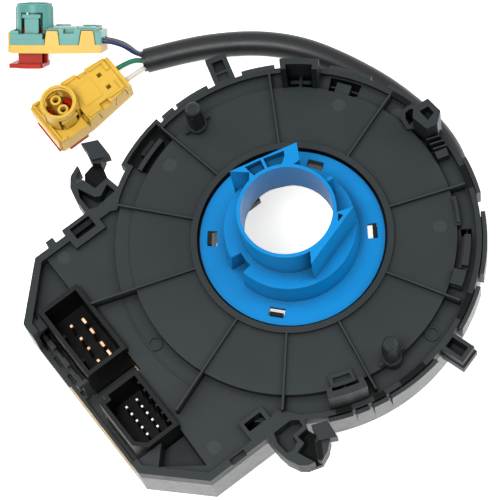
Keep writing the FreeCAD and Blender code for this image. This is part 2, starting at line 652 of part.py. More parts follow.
def cam_sleeve():
    """Blue cancelling cam: flange, stepped ring, tube and the two straight-sided cams."""
    foot_r = ring_r + ring_draft
    body = revolved([
        (tube_bore_r, tube_top), (tube_r, tube_top), (tube_r, ring_top), (ring_r, ring_top),
        (foot_r, disc_z), (flange_r, disc_z), (flange_r, flange_under), (foot_r - ring_wall, flange_under),
        (ring_r - ring_wall, ring_top - 1.4), (tube_bore_r, ring_top - 1.4)])
    flat = prism([(-19.7, -5.35), (-14.7, 14.95), (-9.8, 12.3), (-10.0, 9.0), (-13.6, -3.0), (-15.9, -1.1)],
                 disc_z - 0.6, tube_top)
    flat = flat.cut(cylinder(foot_r - ring_wall, disc_z - 1, ring_top - 1.4))
    pockets = [[(-17.97, -1.1), (-16.95, 3.65), (-13.5, 2.9), (-13.8, -0.6), (-15.9, -0.9)],
               [(-16.75, 4.5), (-14.95, 10.5), (-13.6, 9.8), (-12.1, 7.6), (-12.9, 5.0), (-13.3, 3.7)]]
    for pocket in pockets:
        flat = flat.cut(prism(pocket, ring_top, tube_top + 1))
    lobe = cam_plan([(11.07, 15.61), (17.24, -4.4), (13.9, -2.2), (13.0, 4.5), (9.3, 10.2)])
    lobe = lobe.cut(prism([(11.9, 9.3), (11.3, 11.6), (10.0, 10.8)], ring_top + 3.0, tube_top + 1))
    blade = prism([(-1.3, 13.8), (-0.9, 16.6), (0.1, 16.6), (-0.1, 13.8)], ring_top - 0.6, tube_top - 1.6)
    body = joined([body, flat, lobe, blade]).cut(cylinder(tube_bore_r, disc_z, tube_top + 1))
    notch = sector(16.0, 22.0, 261.0, 278.0, disc_z, ring_top + 1)
    notch_floor = sector(14.6, foot_r - 0.4, 260.0, 279.0, flange_under, disc_z)
    notch_wall = sector(14.6, 15.8, 260.0, 279.0, flange_under, ring_top)
    body = joined([body.cut(notch), notch_floor, notch_wall])
    for angle in slot_angles:
        body = body.cut(radial_box(latch_r - slot_d / 2, latch_r + slot_d / 2, slot_w, angle,
                                   flange_under - 1, disc_z + 1))
    return body


def rotor_hub():
    """Black rotor: collar, closing disc, hub wall and the four latches in the cam's slots."""
    disc_top = base_z + rotor_disc_t
    body = revolved([
        (hub_bore_r, base_z), (collar_r, base_z), (collar_r, 0), (collar_r + collar_wall, 0),
        (collar_r + collar_wall, base_z), (rotor_disc_r, base_z), (rotor_disc_r, disc_top), (hub_r, disc_top),
        (hub_r, shoulder_z), (neck_r, shoulder_z), (neck_r, flange_under), (hub_bore_r, flange_under)])
    slot_outer = latch_r + slot_d / 2
    extras = []
    for angle in slot_angles:
        low = flange_under - 4.0
        extras.append(radial_box(slot_outer - 1.3, hub_bore_r + 0.5, slot_w - 0.6, angle, low, flange_under - 0.3))
        extras.append(radial_box(slot_outer - 1.3, slot_outer - 0.2, slot_w - 0.6, angle, low, disc_z + 0.4))
    extras.append(radial_box(21.4, hub_bore_r + 0.5, 5.4, 180.0, base_z, base_z + 3.0))
    for i in range(8):
        extras.append(radial_box(collar_r + collar_wall - 0.5, rotor_disc_r - 4.0, 1.2, 22.5 + i * 45.0,
                                 base_z - 1.4, base_z + 0.2))
    return joined([body] + extras)


def film(r1, r2, z):
    return ring(r1, r2, z, z + film_t)


switch_angle = -62.0
switch_r1 = 35.0
switch_r2 = 47.0
switch_w = 17.0
switch_low = 3.0


def switch_socket():
    """Wheel-side socket for the switch lead, open away from the rotor."""
    body = radial_box(switch_r1, switch_r2, switch_w, switch_angle, switch_low, base_z)
    cavity = radial_box(switch_r1 + 1.2, switch_r2 - 1.2, switch_w - 2.4, switch_angle, switch_low - 1, base_z - 3)
    return body.cut(cavity).cut(rotor_ribs(0.05)).cut(Part.makeCompound(switch_pins()))


def rotor_ribs(grow):
    return Part.makeCompound([radial_box(collar_r, rotor_disc_r - 4.0 + grow, 1.2 + 2 * grow, 22.5 + i * 45.0,
                                         base_z - 1.4 - grow, base_z) for i in range(8)])


def switch_pins():
    made = []
    for row in (39.0, 43.0):
        for i in range(6):
            y = (i - 2.5) * 2.2
            made.append(turned(box(row - 0.32, row + 0.32, y - 0.32, y + 0.32, switch_low + 3.0, base_z - 1.6),
                               switch_angle))
    return made


# Pigtail: the routes are lists of corner points, rounded by tangent arcs

sleeve_route = [(20.5, 35.5, 7.6), (17.5, 44.0, 7.6), (11.5, 52.5, 5.8), (2.5, 58.5, 4.6), (-8.5, 60.9, 4.1),
                (-20.6, 60.0, 3.95), (-33.3, 57.4, 3.95), (-47.2, 52.2, 3.95), (-59.0, 46.1, 3.95),
                (-69.1, 37.2, 3.95), (-76.9, 26.5, 3.95), (-82.6, 16.0, 3.95), (-87.0, 5.8, 3.95)]
wire_routes = {
    "wire_blue": [(-73.85, 32.42, 4.9), (-77.79, 27.06, 4.9), (-83.55, 16.56, 4.9), (-88.1, 5.15, 4.6),
                  (-94.2, 1.21, 13.26), (-98.7, -4.16, 13.26)],
    "wire_brown": [(-73.85, 32.42, 2.9), (-77.79, 27.06, 2.9), (-83.55, 16.56, 2.9), (-88.25, 5.5, 3.0),
                   (-96.16, 2.85, 8.84), (-100.66, -2.52, 8.84)],
    "wire_green": [(-72.15, 31.18, 4.9), (-76.01, 25.94, 4.9), (-81.66, 15.64, 4.9), (-86.05, 5.8, 4.8),
                   (-89.45, 1.4, 6.9), (-89.45, -6.5, 6.9)],
    "wire_white": [(-72.15, 31.18, 2.9), (-76.01, 25.94, 2.9), (-81.66, 15.64, 2.9), (-85.75, 5.8, 2.7),
                   (-84.35, 1.2, 6.9), (-84.35, -6.5, 6.9)],
}


def route_edges(points, name):
    """Straight runs joined by arcs of 0.45 of the shorter run beside each corner."""
    p = [V(*q) for q in points]
    edges = []
    at = p[0]
    radii = []
    for a, b, c in zip(p, p[1:], p[2:]):
        run_in = b - a
        run_out = c - b
        half = run_in.getAngle(run_out) / 2
        cut = 0.45 * min(run_in.Length, run_out.Length)
        radii.append(cut / math.tan(half))
        u = V(run_in).normalize()
        w = V(run_out).normalize()
        start = b - u * cut
        end = b + w * cut
        middle = (w - u).normalize()
        arc_mid = b + middle * (radii[-1] / math.cos(half) - radii[-1])
        edges.append(Part.LineSegment(at, start).toShape())
        edges.append(Part.Arc(start, arc_mid, end).toShape())
        at = end
    edges.append(Part.LineSegment(at, p[-1]).toShape())
    length = sum(e.Length for e in edges)
    print(name, "length", round(length, 1), "radii", [round(r, 1) for r in radii])
    return edges


def tube(edges, radius):
    """Round solid swept along line and arc edges."""
    start = edges[0].Vertexes[0].Point
    along = edges[0].tangentAt(edges[0].FirstParameter)
    section = Part.Wire(Part.Circle(start, along, radius).toShape())
    return Part.Wire(edges).makePipeShell([section], True, False)


def harness_sleeve():
    """Fabric sleeve, hollow where it holds the four wires."""
    edges = route_edges(sleeve_route, "harness_sleeve")
    solid = tube(edges, sleeve_r)
    length = sum(e.Length for e in edges)
    print("sleeve volume / section x length", round(solid.Volume / (math.pi * sleeve_r ** 2 * length), 4))
    return solid.cut(tube(edges[-5:], sleeve_bore_r))


def harness_grommet():
    """Outlet block on the rotor that the sleeve comes out of."""
    x, y, z = sleeve_route[0]
    heading = math.degrees(math.atan2(sleeve_route[1][1] - y, sleeve_route[1][0] - x))
    body = box(-6.5, 0, -5.6, 5.6, 2.6, base_z)
    boss = Part.makeCylinder(sleeve_r + 1.3, 5.0, V(0, 0, z), V(1, 0, 0))
    boss = boss.cut(Part.makeCylinder(sleeve_r + 0.3, 6.0, V(0, 0, z), V(1, 0, 0)))
    body = joined([body, boss])
    turned(body, heading)
    body.translate(V(x, y, 0))
    return body.cut(cylinder(collar_r + collar_wall, 0, base_z)).cut(rotor_ribs(0.05))


# Squib plugs, drawn nose up with the wires leaving along +x

plug_nose_end = -6.3
plug_wire_end = 22.0
plug_step_x = 5.0        # where the low platform rises to the hump
platform_h = 4.4
plug_half_w = 8.2
plug_end_half_w = 6.3
post_y = 2.0
channel_y = 2.55
contact_z = 3.7
lock_plate_t = 1.4
lock_wall_h = 3.6        # guide walls of the secondary lock
prong_half = 17.0        # degrees
prong_reach = 8.2
wire_grip = 2.5          # how far a wire reaches into its plug
lug_spans = ((4.0, 9.4), (14.7, 20.4))
lug_top = 7.0
lug_inner = 0.83         # inner face of the lugs, as a share of the half width


def plug_plan(grow):
    return [(plug_nose_end - grow, -plug_half_w - grow), (plug_step_x, -plug_half_w - grow),
            (plug_wire_end, -plug_end_half_w - grow), (plug_wire_end, plug_end_half_w + grow),
            (plug_step_x, plug_half_w + grow), (plug_nose_end - grow, plug_half_w + grow)]


def side_lugs(grow):
    """The shell's lugs: wider at the foot, two up each side."""
    made = []
    for x1, x2 in lug_spans:
        profile = [(x1 - grow, 0), (x1 + 1.2 - grow, lug_top + grow), (x2 - 0.8 + grow, lug_top + grow),
                   (x2 + grow, 0)]
        corners = [V(x, -plug_half_w - 1, z) for x, z in profile]
        wedge = Part.Face(Part.makePolygon(corners + corners[:1])).extrude(V(0, 2 * plug_half_w + 2, 0))
        made.append(wedge)
    inner = [(x * 1.2, y * lug_inner) for x, y in plug_plan(-1.2 * grow)]
    return joined(made).cut(prism(inner, -1, lug_top + 1))


def plug_cover():
    """Bottom shell of the plug with two lugs up each side."""
    plate = joined([prism(plug_plan(0), 0, plug_shell_t), side_lugs(0)])
    return plate.common(prism(plug_plan(0), 0, plug_body_h)).cut(lock_room())


def plug_body():
    """Upper housing: platform, hump, nose ring with latch windows, two contact posts and channels."""
    body = prism(plug_plan(0), plug_shell_t, plug_body_h)
    body = body.cut(box(plug_nose_end - 1, plug_step_x, -10, 10, platform_h, plug_body_h + 1))
    body = body.cut(side_lugs(0.2))
    nose = cylinder(nose_r, platform_h - 0.5, plug_body_h + nose_h)
    body = body.fuse(nose).cut(cylinder(nose_r - 0.9, platform_h - 0.4, plug_body_h + nose_h + 1))
    for side in (-1, 1):
        y1, y2 = sorted((side * 3.0, side * (nose_r + 1)))
        body = body.cut(box(-3.4, 3.4, y1, y2, platform_h, plug_body_h + 4.8))
        y1, y2 = sorted((side * (nose_r - 1.3), side * (nose_r - 0.3)))
        body = body.fuse(box(-2.2, 2.2, y1, y2, platform_h - 0.4, plug_body_h + 4.0))
    posts = [cylinder(1.7, plug_shell_t, plug_body_h + 5.0, 0, side * post_y) for side in (-1, 1)]
    body = joined([body] + posts)
    rail = 0.9
    for side in (-1, 1):
        y1, y2 = sorted((side * (plug_end_half_w - rail), side * (plug_half_w + 1)))
        body = body.cut(box(10.4, 13.6, y1, y2, plug_body_h - 1.4, plug_body_h + 1))
        y = side * channel_y
        body = body.cut(cylinder(0.95, plug_shell_t, plug_body_h + 6, 0, side * post_y))
        body = body.cut(box(-0.95, plug_wire_end + 1, y - 0.95, y + 0.95, contact_z - 0.95, contact_z + 0.95))
        body = body.cut(box(15.5, 16.9, y - 0.7, y + 0.7, contact_z, plug_body_h + 1))
    body = body.cut(box(plug_wire_end - 1.6, plug_wire_end + 1, -10, 10, plug_body_h - 0.8, plug_body_h + 1))
    return body.cut(lock_room())


def plug_terminals():
    """Two contacts: a crimp barrel along the channel and a round socket up the post."""
    made = []
    for side in (-1, 1):
        y = side * channel_y
        barrel = box(-0.6, plug_wire_end - wire_grip - 0.05, y - 0.55, y + 0.55, contact_z - 0.6, contact_z + 0.6)
        pin = cylinder(0.7, contact_z, plug_body_h + 3.0, 0, side * post_y)
        made.append(barrel.fuse(pin).cut(cylinder(0.4, plug_body_h, plug_body_h + 5, 0, side * post_y)))
    return Part.makeCompound(made)


def lock_prongs(grow, z1, z2):
    """Two curved prongs that reach into the nose from below."""
    half = prong_half + grow * 8
    return joined([sector(2.9 - grow, 4.1 + grow, a - half, a + half, z1, z2) for a in (0.0, 180.0)])


def lock_walls(grow, z1, z2):
    """Two guide walls beside the contacts."""
    made = []
    for side in (-1, 1):
        y1, y2 = sorted((side * (4.5 - grow), side * (5.7 + grow)))
        made.append(box(-4.3 - grow, 3.0 + grow, y1, y2, z1, z2))
    return joined(made)


def lock_room():
    """Slots in shell and housing that the secondary lock slides in."""
    return lock_prongs(0.25, -1, plug_body_h + 4.4).fuse(lock_walls(0.15, -1, lock_wall_h + 0.2))


def plug_lock(out):
    """Secondary lock, shown pulled out by the given travel."""
    plate = box(plug_nose_end - 0.9, 3.4, -6.0, 6.0, -out - lock_plate_t, -out)
    ear = box(-4.0, 3.0, -plug_half_w + 0.6, plug_half_w - 0.6, -out - lock_plate_t, -out)
    prongs = lock_prongs(0, -out - 0.2, prong_reach - out + 3.4 - 1.0)
    return joined([plate, ear, prongs, lock_walls(0, -out - 0.2, lock_wall_h - out)])


def lay_yellow(shape):
    """Yellow plug on its back, nose up, wires towards +Y."""
    shape = turned(shape.copy(), 90.0)
    shape.translate(V(-86.9, -26.0, yellow_lock_out + lock_plate_t))
    return shape


def lay_teal(shape):
    """Teal plug on its side, nose raised, wires towards the sleeve."""
    length = V(0.6428, 0.7660, 0)
    lean = math.radians(30.0)
    nose = V(-0.7660 * math.cos(lean), 0.6428 * math.cos(lean), math.sin(lean))
    across = nose.cross(length)
    shoulder = V(-114.8, -16.1, 13.0)
    m = FreeCAD.Matrix(length.x, across.x, nose.x, shoulder.x, length.y, across.y, nose.y, shoulder.y,
                       length.z, across.z, nose.z, shoulder.z, 0, 0, 0, 1)
    shape = shape.copy()
    shape.translate(V(0, 0, -plug_body_h))
    shape.transformShape(m)
    return shape


yellow_lock_out = 1.8
teal_lock_out = 3.4

save("stator_cover", stator_cover())
save("stator_base", stator_base())
save("power_socket", power_socket())
save("power_pins", Part.makeCompound(blade_pins(0)))
save("signal_socket", signal_socket())
save("signal_pins", Part.makeCompound(signal_pins(0)))
save("terminal_board", terminal_board())
save("flat_cable", flat_cable())
save("outer_cable_block", outer_cable_block())
save("upper_slip_sheet", film(hole_r + plate_t + 0.4, slip_sheet_r, disc_under - film_t))
save("cam_sleeve", cam_sleeve())
save("rotor_hub", rotor_hub())
save("lower_slip_sheet", film(hub_r + 0.4, rotor_disc_r - 0.4, base_z + rotor_disc_t))
save("inner_cable_block", inner_cable_block())
save("switch_socket", switch_socket())
save("switch_pins", Part.makeCompound(switch_pins()))
save("harness_grommet", harness_grommet())
save("harness_sleeve", harness_sleeve())
for wire_name, route in wire_routes.items():
    save(wire_name, tube(route_edges(route, wire_name), wire_r))
for colour, lay, lock_out in (("yellow", lay_yellow, yellow_lock_out), ("teal", lay_teal, teal_lock_out)):
    save(colour + "_plug_body", lay(plug_body()))
    save(colour + "_plug_cover", lay(plug_cover()))
    save(colour + "_plug_terminals", lay(plug_terminals()))
    save(colour + "_plug_lock", lay(plug_lock(lock_out)))
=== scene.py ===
import math

import bpy
import bmesh
from mathutils import Matrix, Vector


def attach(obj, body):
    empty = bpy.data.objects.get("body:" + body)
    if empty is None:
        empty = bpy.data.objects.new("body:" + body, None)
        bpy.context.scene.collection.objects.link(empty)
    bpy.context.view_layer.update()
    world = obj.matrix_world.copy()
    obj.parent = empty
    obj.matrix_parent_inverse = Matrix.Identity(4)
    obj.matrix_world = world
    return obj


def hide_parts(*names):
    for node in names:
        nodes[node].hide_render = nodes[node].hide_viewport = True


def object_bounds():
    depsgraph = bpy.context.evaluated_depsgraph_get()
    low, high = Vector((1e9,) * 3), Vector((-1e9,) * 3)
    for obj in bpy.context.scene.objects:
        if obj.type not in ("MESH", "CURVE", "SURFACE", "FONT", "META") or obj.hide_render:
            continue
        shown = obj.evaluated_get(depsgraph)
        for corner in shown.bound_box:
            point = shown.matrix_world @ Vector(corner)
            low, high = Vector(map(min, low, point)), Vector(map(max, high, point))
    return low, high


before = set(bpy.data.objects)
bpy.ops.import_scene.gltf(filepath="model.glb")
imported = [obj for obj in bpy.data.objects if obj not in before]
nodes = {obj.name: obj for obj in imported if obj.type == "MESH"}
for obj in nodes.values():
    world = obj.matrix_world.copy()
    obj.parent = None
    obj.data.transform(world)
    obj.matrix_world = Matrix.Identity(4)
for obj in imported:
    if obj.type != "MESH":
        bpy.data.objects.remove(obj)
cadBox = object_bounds()
print("clock spring: frame loaded,", len(nodes), "nodes")

mm = 0.001


# Colour and node helpers.

def linearColour(hexText):
    values = []
    for i in (0, 2, 4):
        c = int(hexText[i:i + 2], 16) / 255
        values.append(c / 12.92 if c <= 0.04045 else ((c + 0.055) / 1.055) ** 2.4)
    return (values[0], values[1], values[2], 1.0)


def toned(colour, factor):
    return tuple(c * factor for c in colour[:3]) + (1.0,)


def setInputs(tree, node, inputs):
    # a socket is linked, any other value is set
    for key, value in inputs.items():
        if isinstance(value, bpy.types.NodeSocket):
            tree.links.new(value, node.inputs[key])
        else:
            node.inputs[key].default_value = value


def addNode(tree, kind, inputs=None, **settings):
    node = tree.nodes.new(kind)
    for key, value in settings.items():
        setattr(node, key, value)
    setInputs(tree, node, inputs or {})
    return node


def newMaterial(name):
    material = bpy.data.materials.new(name)
    material.use_nodes = True
    tree = material.node_tree
    return material, tree, tree.nodes["Principled BSDF"]


# Moulded plastics: the colour drifts softly, the mould's eroded grain makes a fine bump, faint scuffs break
# up the gloss, and painted shade darkens the hollows and corners. Sizes of patterns are millimetres.
# The Mix node's inputs 0, 6 and 7 are the factor and the two colours, and its output 2 is the result.

# defaults; the hollow keys and the shade tone set the painted shade in hollows, from ambient occlusion
plasticDefaults = dict(hollow=2.5, hollowFrom=0.35, hollowTo=0.9, paintedShadeTone=0.12, glow=0.0, glowDepth=0.6,
                       bump=0.05)


def shadeByFacing(tree, colour, base, look):
    # level faces and upright walls of one moulding get different colours by the way they face; on the nylon
    # this is painted shade
    normal = addNode(tree, "ShaderNodeNewGeometry").outputs["True Normal"]
    upward = addNode(tree, "ShaderNodeSeparateXYZ", {"Vector": normal}).outputs["Z"]
    level = addNode(tree, "ShaderNodeMath", {0: upward}, operation="ABSOLUTE").outputs[0]
    onFace = addNode(tree, "ShaderNodeMapRange", {"Value": level, "From Min": 0.5, "From Max": 0.8})
    wall = toned(base, look["paintedWallShade"]) if "paintedWallShade" in look else colour
    face = linearColour(look["faceColour"]) if "faceColour" in look else colour
    shaded = addNode(tree, "ShaderNodeMix", {0: onFace.outputs[0], 6: wall, 7: face}, data_type="RGBA")
    return shaded.outputs[2]


def mouldedPlastic(name, ownLook):
    look = {**plasticDefaults, **ownLook}
    material, tree, shader = newMaterial(name)
    place = addNode(tree, "ShaderNodeTexCoord").outputs["Object"]
    drift = addNode(tree, "ShaderNodeTexNoise", {"Vector": place, "Scale": 1 / (look["driftSize"] * mm),
                                                 "Detail": 4.0, "Roughness": 0.55})
    grain = addNode(tree, "ShaderNodeTexNoise", {"Vector": place, "Scale": 1 / (look["grainSize"] * mm),
                                                 "Detail": 3.0, "Roughness": 0.6})
    scuff = addNode(tree, "ShaderNodeTexNoise", {"Vector": place, "Scale": 1 / (look["scuffSize"] * mm),
                                                 "Detail": 8.0, "Roughness": 0.7, "Distortion": 1.5})
    base = linearColour(look["colour"])
    driftMask = addNode(tree, "ShaderNodeMapRange", {"Value": drift.outputs[0], "From Min": 0.3,
                                                     "From Max": 0.7})
    drifted = addNode(tree, "ShaderNodeMix", {0: driftMask.outputs[0], 6: toned(base, look["darkest"]),
                                              7: base}, data_type="RGBA")
    scuffMask = addNode(tree, "ShaderNodeMapRange", {"Value": scuff.outputs[0], "From Min": 0.62,
                                                     "From Max": 0.8, "To Max": look["scuffAmount"]})
    worn = addNode(tree, "ShaderNodeMix", {0: scuffMask.outputs[0], 6: drifted.outputs[2],
                                           7: linearColour(look["scuffColour"])}, data_type="RGBA").outputs[2]
    # upright walls and level faces get colours of their own by the way they face, painted shade on the nylon
    if "faceColour" in look or "paintedWallShade" in look:
        worn = shadeByFacing(tree, worn, base, look)
    # painted shade: ambient occlusion pulls the colour towards the shade tone in hollows and corners
    hollow = addNode(tree, "ShaderNodeAmbientOcclusion", {"Distance": look["hollow"] * mm}, samples=6)
    openness = addNode(tree, "ShaderNodeMapRange", {"Value": hollow.outputs["AO"],
                                                    "From Min": look["hollowFrom"],
                                                    "From Max": look["hollowTo"]})
    colour = addNode(tree, "ShaderNodeMix", {0: openness.outputs[0], 6: toned(base, look["paintedShadeTone"]),
                                             7: worn}, data_type="RGBA")
    rough = addNode(tree, "ShaderNodeMapRange", {"Value": scuff.outputs[0], "From Min": 0.25,
                                                 "From Max": 0.75, "To Min": look["rough"][0],
                                                 "To Max": look["rough"][1]})
    edge = addNode(tree, "ShaderNodeBevel", {"Radius": look["edge"] * mm}, samples=4)
    bump = addNode(tree, "ShaderNodeBump", {"Strength": look["grain"], "Distance": look["bump"] * mm,
                                            "Height": grain.outputs[0], "Normal": edge.outputs[0]})
    setInputs(tree, shader, {"Base Color": colour.outputs[2], "Roughness": rough.outputs[0],
                             "Specular IOR Level": look["specular"], "Normal": bump.outputs[0],
                             "Subsurface Weight": look["glow"],
                             "Subsurface Radius": (look["glowDepth"] * mm,) * 3})
    return material


plasticLooks = {
    # glass-filled nylon, slightly greenish charcoal: an eroded mould surface on the level faces, while the
    # drawn walls are smooth and carry painted shade that makes them darker
    "charcoalNylonEroded": dict(colour="22282a", darkest=0.8, scuffColour="3a4042", scuffAmount=0.3,
                                driftSize=22, grainSize=0.35, scuffSize=7, rough=(0.4, 0.54), specular=0.24,
                                grain=0.45, edge=0.2, paintedWallShade=0.3, paintedShadeTone=0.08),
    # the same nylon off a polished mould wall, on the wheel-side half: it mirrors a little
    "charcoalNylonPolished": dict(colour="1f2426", darkest=0.8, scuffColour="454b4d", scuffAmount=0.3,
                                  driftSize=14, grainSize=0.5, scuffSize=5, rough=(0.24, 0.4), specular=0.45,
                                  grain=0.15, edge=0.2),
    # the same nylon inside the sockets; painted shade turns the deep hollows nearly black and darkens the
    # walls
    "charcoalNylonSmooth": dict(colour="15181a", darkest=0.8, scuffColour="34393b", scuffAmount=0.15,
                                driftSize=15, grainSize=0.5, scuffSize=5, rough=(0.36, 0.48), specular=0.16,
                                grain=0.12, edge=0.18, hollow=14, hollowFrom=0.75, hollowTo=1.0,
                                paintedShadeTone=0.03, paintedWallShade=0.5),
    # painted shade: near-black nylon for sheets that stand in for the deep shade inside the snap windows and
    # the hooks' necks
    "paintedShadeBlack": dict(colour="0b0c0d", darkest=0.8, scuffColour="1a1d1e", scuffAmount=0.15,
                              driftSize=15, grainSize=0.5, scuffSize=5, rough=(0.5, 0.6), specular=0.1,
                              grain=0.12, edge=0.1),
    # thin ribs: their sides are painted black as shade, beside the grained tops in charcoal grey
    "charcoalNylonRib": dict(colour="070808", darkest=0.8, scuffColour="1a1d1e", scuffAmount=0.2,
                             driftSize=22, grainSize=0.35, scuffSize=7, rough=(0.5, 0.6), specular=0.2,
                             grain=0.3, edge=0.1, faceColour="2b3234"),
    # the same nylon where ejector pins have rubbed it a little paler
    "charcoalNylonRubbed": dict(colour="2d3335", darkest=0.85, scuffColour="4a5052", scuffAmount=0.3,
                                driftSize=3, grainSize=0.4, scuffSize=2, rough=(0.36, 0.48), specular=0.24,
                                grain=0.2, edge=0.1),
    # black acetal of the rotor, smooth and a little waxy
    "blackAcetalSmooth": dict(colour="101112", darkest=0.8, scuffColour="2a2b2c", scuffAmount=0.2,
                              driftSize=18, grainSize=0.5, scuffSize=6, rough=(0.34, 0.46), specular=0.2,
                              grain=0.12, edge=0.2, hollow=8, hollowFrom=0.6, hollowTo=0.98, paintedShadeTone=0.1),
    # self-coloured blue acetal of the cam sleeve, satin
    "blueAcetalSatin": dict(colour="007fc2", darkest=0.88, scuffColour="2795d2", scuffAmount=0.15,
                            driftSize=25, grainSize=0.6, scuffSize=9, rough=(0.34, 0.44), specular=0.22,
                            grain=0.05, edge=0.3, hollow=5, paintedShadeTone=0.3),
    # glossy polyester mouldings of the squib plugs; a little light passes into them
    "yellowPolyesterGlossy": dict(colour="d8ae40", darkest=0.92, scuffColour="e6cb80", scuffAmount=0.1,
                                  driftSize=12, grainSize=0.5, scuffSize=5, rough=(0.3, 0.4), specular=0.35,
                                  grain=0.08, glow=0.1, edge=0.2, hollow=1.0, paintedShadeTone=0.65),
    "tealPolyesterGlossy": dict(colour="54968e", darkest=0.9, scuffColour="8cc7bd", scuffAmount=0.1,
                                driftSize=12, grainSize=0.5, scuffSize=5, rough=(0.3, 0.4), specular=0.35,
                                grain=0.08, glow=0.1, edge=0.2, hollow=1.2, paintedShadeTone=0.5),
    "orangePolyesterGlossy": dict(colour="ad1f06", darkest=0.92, scuffColour="d0603a", scuffAmount=0.1,
                                  driftSize=12, grainSize=0.5, scuffSize=5, rough=(0.3, 0.4), specular=0.15,
                                  grain=0.08, glow=0.1, edge=0.2, hollow=1.6, paintedShadeTone=0.4),
    # resin-bonded terminal board, tan where it was cut; its level faces are coloured near black
    "tanResinBoard": dict(colour="e2cc9a", darkest=0.75, scuffColour="efe0bd", scuffAmount=0.5,
                          driftSize=3, grainSize=0.25, scuffSize=2, rough=(0.5, 0.7), specular=0.4,
                          grain=0.4, edge=0.1, faceColour="1a1c1b", paintedShadeTone=0.5),
    # the same board's bare sawn edge, dry and speckled
    "tanResinEdge": dict(colour="d8c194", darkest=0.7, scuffColour="efe0bd", scuffAmount=0.5,
                         driftSize=3, grainSize=0.25, scuffSize=2, rough=(0.5, 0.7), specular=0.3,
                         grain=0.3, edge=0.05, hollow=0.4),
    # black PVC tube round the wires, matt with a soft sheen and slow waves where it was bent
    "blackPvcTubeMatt": dict(colour="131618", darkest=0.75, scuffColour="2b2f31", scuffAmount=0.3,
                             driftSize=16, grainSize=9.0, scuffSize=4, rough=(0.36, 0.5), specular=0.38,
                             grain=0.25, bump=0.6, edge=0.2),
}
materials = {name: mouldedPlastic(name, look) for name, look in plasticLooks.items()}
print("clock spring:", len(materials), "plastics")


# Drawn metal of pins and contacts, with drawing lines along the pin. Painted shade darkens all below a
# height: a socket's pin is bright at the tip and dark at the shank, where the socket shades it; the contacts
# down in the plugs lie below it and are dark all over.

metalLooks = {
    # drawn copper alloy blades, slightly browned
    "copperAlloyDrawn": dict(colour="ffd2ae", paintedShankShade="4a2a1c", tarnishColour="c8824c", tarnishAmount=0.7,
                             lineSize=0.2, tarnishSize=1.5, rough=(0.34, 0.46)),
    # bright tin plate
    "tinPlateBright": dict(colour="f2f0e8", paintedShankShade="24211e", tarnishColour="bdbab0", tarnishAmount=0.3,
                           lineSize=0.15, tarnishSize=1.2, rough=(0.3, 0.42)),
}
pinShade = dict(darkUpTo=27.4, brightFrom=28.8, alongPin=(1.0, 1.0, 0.08), lineDepth=0.02, edge=0.1)


def drawnMetal(name, look):
    material, tree, shader = newMaterial(name)
    place = addNode(tree, "ShaderNodeTexCoord").outputs["Object"]
    stretch = addNode(tree, "ShaderNodeMapping", {"Vector": place, "Scale": pinShade["alongPin"]})
    lines = addNode(tree, "ShaderNodeTexNoise", {"Vector": stretch.outputs[0],
                                                 "Scale": 1 / (look["lineSize"] * mm), "Detail": 3.0})
    tarnish = addNode(tree, "ShaderNodeTexNoise", {"Vector": place, "Scale": 1 / (look["tarnishSize"] * mm),
                                                   "Detail": 5.0})
    tarnishMask = addNode(tree, "ShaderNodeMapRange", {"Value": tarnish.outputs[0], "From Min": 0.4,
                                                       "From Max": 0.7, "To Max": look["tarnishAmount"]})
    plate = addNode(tree, "ShaderNodeMix", {0: tarnishMask.outputs[0], 6: linearColour(look["colour"]),
                                            7: linearColour(look["tarnishColour"])}, data_type="RGBA")
    # painted shade: below this height the metal takes the dark shank colour, towards the tip its own plate
    # colour
    height = addNode(tree, "ShaderNodeSeparateXYZ", {"Vector": place}).outputs["Z"]
    tip = addNode(tree, "ShaderNodeMapRange", {"Value": height, "From Min": pinShade["darkUpTo"] * mm,
                                               "From Max": pinShade["brightFrom"] * mm})
    colour = addNode(tree, "ShaderNodeMix", {0: tip.outputs[0], 6: linearColour(look["paintedShankShade"]),
                                             7: plate.outputs[2]}, data_type="RGBA")
    rough = addNode(tree, "ShaderNodeMapRange", {"Value": lines.outputs[0], "From Min": 0.3, "From Max": 0.7,
                                                 "To Min": look["rough"][0], "To Max": look["rough"][1]})
    edge = addNode(tree, "ShaderNodeBevel", {"Radius": pinShade["edge"] * mm}, samples=4)
    bump = addNode(tree, "ShaderNodeBump", {"Strength": 0.15, "Distance": pinShade["lineDepth"] * mm,
                                            "Height": lines.outputs[0], "Normal": edge.outputs[0]})
    setInputs(tree, shader, {"Base Color": colour.outputs[2], "Roughness": rough.outputs[0], "Metallic": 1.0,
                             "Normal": bump.outputs[0]})
    return material


for name, look in metalLooks.items():
    materials[name] = drawnMetal(name, look)


# Thin film: the wound ribbon and the slip sheets, smoky polyester with a soft haze.

filmLooks = {
    # laminated ribbon with the flat copper tracks showing through
    "polyesterRibbonLaminate": dict(colour="1c1a17", bandColour="2a1c12", bandSize=6.0, bandAmount=0.8),
    "polyesterSlipFilm": dict(colour="2a2926", bandColour="232220", bandSize=9.0, bandAmount=0.4),
}
filmHaze = dict(size=6.0, rough=(0.2, 0.4))


